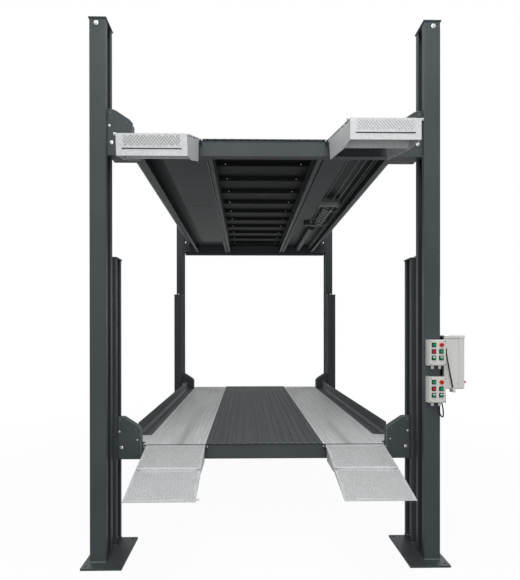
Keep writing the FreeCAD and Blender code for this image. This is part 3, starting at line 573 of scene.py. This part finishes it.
def make_piece(name, shapes, finish, body, sharp_degrees=35.0):
    """Joins shapes into one mesh, merges their poles and ends, and lets the piece ride on its body, where
    it has one."""
    points, faces = joined(shapes)
    mesh = bpy.data.meshes.new(name)
    mesh.from_pydata(points.tolist(), [], faces.tolist())
    model = bmesh.new()
    model.from_mesh(mesh)
    bmesh.ops.remove_doubles(model, verts=model.verts, dist=MERGE_DISTANCE)
    model.to_mesh(mesh)
    model.free()
    mesh.shade_smooth()
    mesh.set_sharp_from_angle(angle=math.radians(sharp_degrees))
    mesh.materials.append(finish)
    piece = bpy.data.objects.new(name, mesh)
    bpy.context.scene.collection.objects.link(piece)
    if body is not None:
        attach(piece, body)
    return piece


# Fasteners
def washer(radius, thickness):
    """A flat disc with its top edge taken off."""
    edge = [(radius, 0), (radius, 0.7 * thickness), (0.93 * radius, thickness)]
    return turned([(0, 0), *edge, (0, thickness)], 24)


def hexagon(radius, height):
    """A hexagon head: six flats up to a turned chamfer and a flat crown."""
    return turned([(0, 0), (radius, 0), (radius, 0.8 * height), (0.86 * radius, height), (0, height)], 6)


def bolt(place, axis, radius):
    """A hexagon head of the given corner radius on its washer."""
    thickness = 0.16 * radius
    head = moved(hexagon(radius, 0.6 * radius), (0, 0, thickness))
    return moved(joined([washer(1.25 * radius, thickness), head]), place, axis)


def rivet(place, axis, radius):
    """A round head: its height over angle t is radius 0.5 sin t, out at radius cos t."""
    t = np.linspace(0.0, math.pi / 2, 5)
    return moved(turned([(0.0, 0.0), *zip(radius * np.cos(t), 0.5 * radius * np.sin(t))], 12), place, axis)


def screw(place, axis, radius):
    """A round head with its top edge taken off and a sunk middle."""
    return moved(turned([(0, 0), (radius, 0), (0.9 * radius, 0.35 * radius), (0.45 * radius, 0.4 * radius),
                         (0.35 * radius, 0.2 * radius), (0, 0.2 * radius)], 16), place, axis)


def stud(place, radius, height, nut_radius):
    """An upright stud with a nut and washer at its foot. Its radius goes in and out by the thread's depth."""
    threads = int(height / STUD_THREAD)
    rise = np.arange(2 * threads + 1) * height / (2 * threads)
    reach = radius * (1.0 - THREAD_DEPTH * (np.arange(2 * threads + 1) % 2))
    rod = turned([(0.0, 0.0), *zip(reach, rise), (0.0, height)], 16)
    foot = bolt((0, 0, 0), (0, 0, 1), nut_radius)
    return moved(joined([rod, foot]), place)


STUD_THREAD = 0.003
THREAD_DEPTH = 0.12
FOUR_WAYS = ((1, 1, 1), (-1, 1, 1), (-1, -1, 1), (1, -1, 1))


def four_ways(shape):
    """A shape at the front right, and its mirror images at the other three corners."""
    return [mirrored(shape, signs) for signs in FOUR_WAYS]


FRONT = (0.0, -1.0, 0.0)
BACK = (0.0, 1.0, 0.0)
UP = (0.0, 0.0, 1.0)
HEAD_BOLT_RADIUS = 0.015

# Where the head bolts of the front right tall and short columns lie
HEAD_BOLTS = ((1.4, TALL_FRONT, 4.468), (1.398, SHORT_FRONT, 2.513))

# Studs: the rod's radius and height, and the nut's corner radius
CAP_STUD_SIZE = (0.009, 0.026, 0.015)
FOOT_STUD_SIZE = (0.009, 0.034, 0.016)

column_bolts = [head for place in HEAD_BOLTS for head in four_ways(bolt(place, FRONT, HEAD_BOLT_RADIUS))]
make_piece("column_head_bolts", column_bolts, bright_steel, "frame")

short_middle = SHORT_FRONT + SHORT_DEPTH / 2
column_middle = (SLOT_FACE + HALF_WIDTH) / 2
cap_studs = four_ways(stud((column_middle, short_middle, SHORT_CAP_TOP), *CAP_STUD_SIZE))
make_piece("short_column_cap_studs", cap_studs, bright_steel, "frame")

# Gusset bolts of a front right carriage: x, height over the deck, corner radius, all in metres
GUSSET_BOLTS = ((1.308, 0.114, 0.008), (1.290, -0.028, 0.0125), (1.146, 0.040, 0.0045))
PAINTED_GUSSET_BOLTS = ((1.300, 0.220, 0.008), (1.160, 0.136, 0.006))
REAR_GUSSET_BOLTS = ((1.298, 0.055, 0.012), (1.277, -0.083, 0.012))

# The bead round a gusset's inner and upper edges: its outline, and its section as (inward, outward)
GUSSET_OUTLINE = ((1.117, -0.100), (1.117, 0.128), (1.142, 0.158), (1.272, 0.243), (1.314, 0.243))
BEAD_SECTION = ((0.0, -0.001), (0.008, -0.001), (0.008, 0.0012), (0.006, 0.002), (0.0012, 0.002),
                (0.0, 0.0012))
CHAMFER_ROUND = 0.004
SHOULDER_ROUND = 0.026


def gusset_bead(deck_top, face):
    """The bead's section carried along the gusset's outline, which is rounded at its inner edge's top and
    at its shoulder."""
    foot, edge, chamfer, shoulder, end = [(x, face, deck_top + z) for x, z in GUSSET_OUTLINE]
    path = np.concatenate([rounded([foot, edge, chamfer], CHAMFER_ROUND, 3)[:-1], [chamfer],
                           rounded([chamfer, shoulder, end], SHOULDER_ROUND)[1:]])
    return carried(BEAD_SECTION, path, FRONT)


for deck, deck_top in DECK_TOPS.items():
    platform = deck + "_platform"
    face = BEAM_CENTRES[deck] - GUSSET_HALF_DEPTH
    behind = BEAM_CENTRES[deck] + GUSSET_HALF_DEPTH
    heads = [bolt((x, face, deck_top + z), FRONT, radius) for x, z, radius in GUSSET_BOLTS]
    heads += [bolt((x, behind, deck_top + z), BACK, radius) for x, z, radius in REAR_GUSSET_BOLTS]
    painted_heads = [bolt((x, face, deck_top + z), FRONT, radius) for x, z, radius in PAINTED_GUSSET_BOLTS]
    bead = gusset_bead(deck_top, face)
    # The bead and the painted heads carry a painted highlight: the anthracite paint made lighter
    make_piece(deck + "_gusset_bolts", four_ways(joined(heads)), bright_steel, platform)
    make_piece(deck + "_painted_gusset_bolts", four_ways(joined(painted_heads)), edge_highlight_paint,
               platform)
    make_piece(deck + "_gusset_beads", four_ways(bead), edge_highlight_paint, platform)


def deck_front(deck):
    """The y of a deck's front edge, a little in front of its front crossbeam."""
    return BEAM_CENTRES[deck] - BEAM_HALF_DEPTH - DECK_OVERHANG


# Strips that close the ends of the ribs at the front and rear edges of each centre deck, in the deck paint half
# again as light
CENTRE_HALF_WIDTH = 0.53
STRIP_HEIGHT = 0.0074
STRIP_SECTION = ((-0.014, -0.0003), (0.0, -0.0003), (0.0, 0.0062), (-0.0012, STRIP_HEIGHT),
                 (-0.013, STRIP_HEIGHT), (-0.014, 0.0062))

for deck, deck_top in DECK_TOPS.items():
    edge = deck_front(deck)
    line = [(CENTRE_HALF_WIDTH, edge, deck_top), (0.0, edge, deck_top), (-CENTRE_HALF_WIDTH, edge, deck_top)]
    strip = carried(STRIP_SECTION, line, UP)
    make_piece(deck + "_deck_edge_strips", [strip, mirrored(strip, (1, -1, 1))], paler_strip_paint,
               deck + "_platform")


# Rivets on the turned-down lips of the cross pans
PAN_RIVET_RADIUS = 0.007

for deck, deck_top in DECK_TOPS.items():
    inside = BEAM_CENTRES[deck] + BEAM_HALF_DEPTH
    count = round(-2 * inside / PAN_PITCH)
    lips = [inside - 2 * inside / count * n - PAN_LIP_FACE for n in range(1, count)]
    rivets = [rivet((x, y, deck_top - DECK_PLATE - PAN_RIVET_DROP), FRONT, PAN_RIVET_RADIUS)
              for y in lips for x in (-PAN_RIVET_X, PAN_RIVET_X)]
    make_piece(deck + "_pan_rivets", rivets, bright_steel, deck + "_platform")


# Rope springs of the lift gear
SPRING_X = (0.750, 0.850)
SPRING_START = 0.043
SPRING_END = 0.143
SPRING_DROP = 0.075
SPRING_RADIUS = 0.016
WIRE_RADIUS = 0.0026
SPRING_TURNS = 9
STEPS_PER_TURN = 20


def spring(x, z):
    """A helix along y: at turn angle a and wire angle b the point lies at radius R + r cos b from the axis,
    and at y = start + pitch a / 2 pi + r sin b. The wire closes to a point at both ends."""
    turn_angle = np.linspace(0.0, 2 * math.pi * SPRING_TURNS, STEPS_PER_TURN * SPRING_TURNS)[:, None]
    wire_angle = np.arange(8) * -2 * math.pi / 8
    wire = np.full(len(turn_angle), WIRE_RADIUS)[:, None]
    wire[[0, -1]] = 0.0
    reach = SPRING_RADIUS + wire * np.cos(wire_angle)
    travel = SPRING_END - SPRING_START - 2 * WIRE_RADIUS
    y = SPRING_START + WIRE_RADIUS + travel * turn_angle / turn_angle[-1] + wire * np.sin(wire_angle)
    points = np.stack([x + reach * np.cos(turn_angle), y, z + reach * np.sin(turn_angle)], axis=-1)
    return points.reshape(-1, 3), grid_faces(len(turn_angle), len(wire_angle))


for deck, deck_top in DECK_TOPS.items():
    springs = [spring(x, deck_top - SPRING_DROP) for x in SPRING_X]
    make_piece(deck + "_rope_springs", springs, gear_steel, deck + "_platform",
               sharp_degrees=60.0)


# Upright ropes in the columns, between their carriage and their anchor
ROPE_RADIUS = 0.006
ROPE_RINGS = 40


def upright_rope(x, y, low, high):
    """A closed round bar from low to high, with many rings of points."""
    heights = np.linspace(low, high, ROPE_RINGS)
    stations = [(0.0, low), *[(ROPE_RADIUS, height) for height in heights], (0.0, high)]
    return moved(turned(stations, 10), (x, y, 0.0))


for deck in DECK_TOPS:
    lowest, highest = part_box(deck + "_column_ropes")
    rope = upright_rope(highest.x - ROPE_RADIUS, highest.y - ROPE_RADIUS, lowest.z, highest.z)
    ropes = make_piece(deck + "_upright_ropes", four_ways(rope), wire_rope, None)
    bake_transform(ropes)
    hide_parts(deck + "_column_ropes")


# Rings round the ropes between the guide and the yoke, on a flat bar over them
RING_MIDDLE_X = 0.840
RING_DROP = 0.085
RING_RADIUS = 0.054
RING_WIRE = 0.006
RING_STEPS = 28
RING_WIRE_STEPS = 9
RING_PLACES = np.linspace(-0.66, 0.02, 8)
RING_BAR = ((-0.018, -0.002), (0.018, -0.002), (0.018, 0.002), (-0.018, 0.002))
RING_BAR_ENDS = (-0.74, 0.16)


def rope_ring(x, y, z):
    """A round ring across the ropes: at angle t round it and angle s round its wire, it has radius
    R + r cos s and lies r sin s along the lift."""
    s = np.linspace(0.0, 2 * math.pi, RING_WIRE_STEPS)[:, None]
    t = np.arange(RING_STEPS)[None, :] * 2 * math.pi / RING_STEPS
    reach = RING_RADIUS + RING_WIRE * np.cos(s)
    along = np.broadcast_to(y + RING_WIRE * np.sin(s), reach.shape[:1] + t.shape[1:])
    points = np.stack([x + reach * np.cos(t), along, z + reach * np.sin(t)], axis=-1)
    return points.reshape(-1, 3), grid_faces(RING_WIRE_STEPS, RING_STEPS)


for deck, deck_top in DECK_TOPS.items():
    rings = [rope_ring(RING_MIDDLE_X, y, deck_top - RING_DROP) for y in RING_PLACES]
    bar_height = deck_top - RING_DROP + RING_RADIUS + RING_WIRE
    bar_line = [(RING_MIDDLE_X, y, bar_height) for y in np.linspace(*RING_BAR_ENDS, 3)]
    make_piece(deck + "_rope_rings", [*rings, carried(RING_BAR, bar_line, UP)], ring_steel,
               deck + "_platform")


# Levelling studs on the base plates, between the tall and the short column
FOOT_STUD = (1.318, -2.276, PLATE_TOP)

foot_studs = four_ways(stud(FOOT_STUD, *FOOT_STUD_SIZE))
make_piece("foot_studs", foot_studs, anthracite, "frame")


# Weld beads at the feet of the columns, in the anthracite paint made lighter as a painted highlight
BEAD_RADIUS = 0.005
BEAD_RIPPLE = 0.007


def weld(start, end):
    """A round bead between two points, half sunk. Its radius grows and shrinks by a tenth with each
    ripple."""
    start, end = np.array(start), np.array(end)
    length = np.linalg.norm(end - start)
    distance = np.linspace(0.0, length, int(length / BEAD_RIPPLE * 3))
    radius = BEAD_RADIUS * (1 + 0.1 * np.sin(2 * math.pi * distance / BEAD_RIPPLE))
    stations = np.column_stack([radius, distance])
    stations = np.concatenate([[[0.0, 0.0]], stations, [[0.0, length]]])
    return moved(turned(stations, 8), start, (end - start) / length)


foot_welds = []
for front, depth in ((TALL_FRONT, TALL_DEPTH), (SHORT_FRONT, SHORT_DEPTH)):
    outer_front = (HALF_WIDTH, front, PLATE_TOP)
    outer_back = (HALF_WIDTH, front + depth, PLATE_TOP)
    inner_front = (SLOT_FACE, front, PLATE_TOP)
    inner_back = (SLOT_FACE, front + depth, PLATE_TOP)
    for start, end in ((inner_front, outer_front), (outer_front, outer_back), (outer_back, inner_back)):
        foot_welds += four_ways(weld(start, end))
make_piece("column_foot_welds", foot_welds, weld_highlight_paint, "frame", sharp_degrees=60.0)


# Raised bars of the tread plates. A bar's foot is a pointed lens or has straight sides, as shares of half its
# length and width, and its crest is a smaller one
BAR_SINK = 0.0003
BAR_CREST_LENGTH = 0.72
BAR_CREST_WIDTH = 0.45
LENS = ((-1, 0), (0, -1), (1, 0), (0, 1))
STRAIGHT = ((-1, -1), (1, -1), (1, 1), (-1, 1))
BAR_FACES = np.array([(3, 2, 1, 0), (4, 5, 6, 7), (0, 1, 5, 4), (1, 2, 6, 5), (2, 3, 7, 6), (3, 0, 4, 7)])


class Plate:
    """A flat plate: a corner, its unit directions across and ahead, its normal, and its width and length."""

    def __init__(self, corner, across, ahead, width, length):
        self.corner = np.array(corner)
        self.across = np.array(across)
        self.ahead = np.array(ahead)
        self.normal = np.cross(self.across, self.ahead)
        self.size = (width, length)

    def bars(self, step, rows, slants, bar, foot_shape, margin=0.008):
        """Raised bars over the plate. Bar (i, j) has its middle at i times the step + j times the row vector,
        and the slant of its turn in the list. Its foot has the four points of the foot shape times its length
        and width, its crest is a smaller one, and only bars whose ends are inside the margin are kept."""
        length, width, height = bar
        reach = int(sum(self.size) / min(np.linalg.norm(step), np.linalg.norm(rows))) + 2
        i, j = np.meshgrid(np.arange(-reach, reach), np.arange(-reach, reach), indexing="ij")
        i, j = i.ravel(), j.ravel()
        middle = i[:, None] * np.array(step) + j[:, None] * np.array(rows) + np.array(self.size) / 2
        slant = np.radians(np.array(slants))[(i + j) % len(slants)]
        long_way = np.column_stack([np.cos(slant), np.sin(slant)])
        short_way = np.column_stack([-np.sin(slant), np.cos(slant)])
        end = np.abs(long_way) * length / 2 + margin
        inside = np.all((middle - end > 0) & (middle + end < np.array(self.size)), axis=1)
        middle, long_way, short_way = middle[inside], long_way[inside], short_way[inside]
        foot = np.array(foot_shape) * (length / 2, width / 2)
        crest = foot * (BAR_CREST_LENGTH, BAR_CREST_WIDTH)
        shape = np.concatenate([foot, crest])
        rise = np.array([-BAR_SINK] * 4 + [height] * 4)
        flat = (middle[:, None] + shape[None, :, :1] * long_way[:, None]
                + shape[None, :, 1:] * short_way[:, None])
        points = (self.corner + flat[..., :1] * self.across + flat[..., 1:] * self.ahead
                  + rise[None, :, None] * self.normal)
        starts = 8 * np.arange(len(middle))
        return points.reshape(-1, 3), (BAR_FACES[None] + starts[:, None, None]).reshape(-1, 4)

    def chequer(self, pitch, bar):
        """Bars at right angles to their neighbours, all at 45 degrees to the plate's sides."""
        return self.bars((pitch, 0.0), (0.0, pitch), (45.0, -45.0), bar, LENS)

    def slanted_lines(self, slant, spacing, bar):
        """Straight bars end to end along parallel lines at a slant, each line half a bar on from the last."""
        angle = math.radians(slant)
        run = bar[0] * LINE_RUN
        along = np.array([math.cos(angle), math.sin(angle)]) * run
        over = np.array([-math.sin(angle), math.cos(angle)]) * spacing + along / 2
        return self.bars(along, over, (slant,), bar, STRAIGHT)


CHEQUER_PITCH = 0.022
CHEQUER_BAR = (0.022, 0.007, 0.0015)
LINE_BAR = (0.036, 0.0075, 0.0016)
LINE_SPACING = 0.020
LINE_RUN = 1.04
LIP_SPACING = 0.0155
LIP_BAR = (0.0138, 0.0036, 0.0014)
LIP_SLANTS = {"left": (48.0, -48.0), "right": (-48.0,)}
RUNWAY_WIDTH = RUNWAY_OUTER - RUNWAY_INNER
UPPER_TRAY = (0.472, 0.850)
LOWER_TRAY = (0.526, 0.415)
TRAY_START = 0.01
LIP_SHARE = 0.84
LIP_HEIGHT = 0.090
LIP_THICKNESS = 0.004
LIP_LEAN = 33.0 / 139.0
TIP_PLATE_GAP = 0.016
TIP_LENGTH = 0.425

for deck, deck_top in DECK_TOPS.items():
    front = deck_front(deck)
    for side, corner_x in (("left", -RUNWAY_OUTER), ("right", RUNWAY_INNER)):
        track = Plate((corner_x, front, deck_top), (1, 0, 0), (0, 1, 0), RUNWAY_WIDTH, -2 * front)
        make_piece(f"{deck}_{side}_runway_tread", [track.chequer(CHEQUER_PITCH, CHEQUER_BAR)],
                   runway_shaded_bar_zinc, deck + "_platform")

hinges = {joint["child"]: np.array(joint["pos_m"]) for joint in frame["joints"] if joint["type"] == "hinge"}


def ramp_directions(body):
    """The directions forward and up of a ramp or tip, from how far it hangs down."""
    droop = math.radians(DROOPS[body])
    forward = np.array([0.0, -math.cos(droop), -math.sin(droop)])
    up = np.array([0.0, -math.sin(droop), math.cos(droop)])
    return forward, up


def ramp_tread(body, size, start, rise, slant):
    """Slanted lines of bars on a ramp's or a tip's plate, from a start past its hinge line to its far end.
    The plate's surface lies at a rise over the hinge line."""
    forward, up = ramp_directions(body)
    corner = hinges[body] + forward * size[1] + up * rise - np.array([size[0] / 2, 0.0, 0.0])
    plate = Plate(corner, (1, 0, 0), -forward, size[0], size[1] - start)
    make_piece(body + "_tread", [plate.slanted_lines(slant, LINE_SPACING, LINE_BAR)], shaded_bar_zinc,
               body)


def lip_tread(body, slants):
    """Lines of bars on the lip at the front of an upper tray, which leans forward on its way down."""
    forward, up = ramp_directions(body)
    down = (LIP_LEAN * forward - up) / math.hypot(1.0, LIP_LEAN)
    width = LIP_SHARE * UPPER_TRAY[0]
    middle = hinges[body] + forward * (UPPER_TRAY[1] + LIP_THICKNESS) + up * HINGE_RISE
    corner = middle + down * LIP_HEIGHT - np.array([width / 2, 0.0, 0.0])
    plate = Plate(corner, (1, 0, 0), -down, width, LIP_HEIGHT)
    make_piece(body + "_lip_tread", [plate.slanted_lines(slant, LIP_SPACING, LIP_BAR) for slant in slants],
               lip_shaded_bar_zinc, body)


LEFT_SLANT = -50.0
for side, slant in (("left", LEFT_SLANT), ("right", -LEFT_SLANT)):
    ramp_tread(f"upper_{side}_ramp", UPPER_TRAY, TRAY_START, HINGE_RISE, slant)
    lip_tread(f"upper_{side}_ramp", LIP_SLANTS[side])
    ramp_tread(f"lower_{side}_ramp", LOWER_TRAY, TRAY_START, HINGE_RISE, slant)
    ramp_tread(f"lower_{side}_tip", (LOWER_TRAY[0], TIP_LENGTH), TIP_PLATE_GAP, TIP_PLATE_DROP, -slant)


# The head on the stub at the side of the lower left tip, and its outline as (radius, distance out)
STUB_FORWARD = 0.395
STUB_END = 0.289
STUB_DROP = -0.0075
STUB_OUTLINE = ((0.0, -0.006), (0.009, -0.006), (0.0105, -0.0045), (0.0105, -0.001), (0.009, 0.0),
                (0.0, 0.0))

forward, up = ramp_directions("lower_left_tip")
stub_end = hinges["lower_left_tip"] + forward * STUB_FORWARD + up * STUB_DROP + np.array([STUB_END, 0.0, 0.0])
stub_head = moved(turned(STUB_OUTLINE, 20), stub_end, (1.0, 0.0, 0.0))
make_piece("tip_stub_head", [stub_head], bright_steel, "lower_left_tip")


# The handle across the main switch at the side of the cabinet
HANDLE_ENDS = ((1.698, -2.432, 1.490), (1.698, -2.385, 1.490), (1.698, -2.338, 1.490))
HANDLE_SECTION = ((-0.008, -0.007), (-0.005, -0.010), (0.005, -0.010), (0.008, -0.007), (0.008, 0.007),
                  (0.005, 0.010), (-0.005, 0.010), (-0.008, 0.007))

switch_handle = carried(HANDLE_SECTION, HANDLE_ENDS, UP)
make_piece("main_switch_handle", [switch_handle], handle_red, "frame")


# Screws in the lids of the control boxes
CONTROL_MIDDLE_X = 1.402
CONTROL_FACE = -2.589
CONTROL_MIDDLES_Z = (1.7465, 1.4425)
LID_SCREW_OFFSETS = (0.058, 0.094)
LID_SCREW_RADIUS = 0.0045

lid_screws = [screw((CONTROL_MIDDLE_X + across * LID_SCREW_OFFSETS[0], CONTROL_FACE,
                     middle + rise * LID_SCREW_OFFSETS[1]), FRONT, LID_SCREW_RADIUS)
              for middle in CONTROL_MIDDLES_Z for across in (-1, 1) for rise in (-1, 1)]
make_piece("control_lid_screws", lid_screws, screw_grey, "frame")


# Floor, light and background
def background_rays(tree):
    """1 for the rays that see the background itself: from the camera, from gloss and through glass."""
    path = tree.nodes.new("ShaderNodeLightPath")
    value = path.outputs["Is Camera Ray"]
    for name in ("Is Glossy Ray", "Is Transmission Ray"):
        most = tree.nodes.new("ShaderNodeMath")
        most.operation = "MAXIMUM"
        tree.links.new(value, most.inputs[0])
        tree.links.new(path.outputs[name], most.inputs[1])
        value = most.outputs[0]
    return value


def mix_shaders(tree, share, first, second):
    """The first shader where the share is 0, the second where it is 1."""
    mix = tree.nodes.new("ShaderNodeMixShader")
    tree.links.new(share, mix.inputs["Fac"])
    tree.links.new(first, mix.inputs[1])
    tree.links.new(second, mix.inputs[2])
    return mix.outputs[0]


SKY_LIGHT = 0.27
FLOOR_GLOW_NEAR = 0.955
FLOOR_NEAR = 3.0
FLOOR_FADE = 4.0
FLOOR_SEEN = (0.86, 0.86, 0.86, 1.0)
FLOOR_BOUNCE = (0.12, 0.12, 0.12, 1.0)
FLOOR_HALF_SIZE = 60.0


def make_world():
    world = bpy.data.worlds.new("studio")
    bpy.context.scene.world = world
    world.use_nodes = True
    tree = world.node_tree
    light = tree.nodes["Background"]
    light.inputs["Color"].default_value = (1.0, 1.0, 1.0, 1.0)
    light.inputs["Strength"].default_value = SKY_LIGHT
    white = tree.nodes.new("ShaderNodeBackground")
    white.inputs["Color"].default_value = (1.0, 1.0, 1.0, 1.0)
    seen = mix_shaders(tree, background_rays(tree), light.outputs[0], white.outputs[0])
    tree.links.new(seen, tree.nodes["World Output"].inputs["Surface"])


def make_floor():
    """A wide flat floor, white where it is seen apart from the lift's shadow, that throws little light up."""
    mesh = bpy.data.meshes.new("floor")
    size = FLOOR_HALF_SIZE
    mesh.from_pydata([(-size, -size, 0.0), (size, -size, 0.0), (size, size, 0.0), (-size, size, 0.0)], [],
                     [(0, 1, 2, 3)])
    floor = bpy.data.objects.new("floor", mesh)
    bpy.context.scene.collection.objects.link(floor)
    finish = Finish("pale_floor", FLOOR_SEEN, 0.9, 0.0, 0.0)
    tree = finish.tree
    seen = background_rays(tree)
    finish.colour(finish.mix(seen, FLOOR_BOUNCE, FLOOR_SEEN))
    glow = finish.node("ShaderNodeEmission")
    glow.inputs["Strength"].default_value = 1.0
    distance = finish.node("ShaderNodeVectorMath", operation="LENGTH")
    finish.link(finish.place, distance.inputs[0])
    beyond = finish.maths("SUBTRACT", distance.outputs["Value"], FLOOR_NEAR)
    faded = finish.maths("DIVIDE", beyond, FLOOR_FADE, clamp=True)
    share = finish.maths("MULTIPLY", seen, finish.spread(faded, FLOOR_GLOW_NEAR, 1.0))
    surface = mix_shaders(tree, share, finish.shader.outputs[0], glow.outputs[0])
    tree.links.new(surface, tree.nodes["Material Output"].inputs["Surface"])
    mesh.materials.append(finish.material)


def area_light(name, place, target, size, power):
    data = bpy.data.lights.new(name, "AREA")
    data.shape = "SQUARE"
    data.size = size
    data.energy = power
    lamp = bpy.data.objects.new(name, data)
    bpy.context.scene.collection.objects.link(lamp)
    lamp.location = place
    direction = Vector(target) - Vector(place)
    lamp.rotation_euler = direction.to_track_quat("-Z", "Y").to_euler()
    lamp.visible_camera = False


# Each lamp: its name, where it stands, what it points at, the side of its square in metres, and its watts
LAMPS = (("key", (-0.3, -7.6, 7.4), (0.0, -1.5, 2.4), 3.5, 190.0),
         ("top", (0.0, -3.7, 7.2), (0.0, -3.6, 0.0), 3.0, 200.0),
         ("fill", (0.0, -9.0, 2.0), (0.0, 0.0, 2.0), 4.0, 190.0),
         ("back_left", (-6.5, 6.5, 4.0), (0.0, 0.5, 2.0), 3.5, 240.0),
         ("back_right", (6.5, 6.5, 4.0), (0.0, 0.5, 2.0), 3.5, 240.0))

make_world()
make_floor()
for lamp in LAMPS:
    area_light(*lamp)
bpy.context.scene.view_settings.view_transform = "Standard"
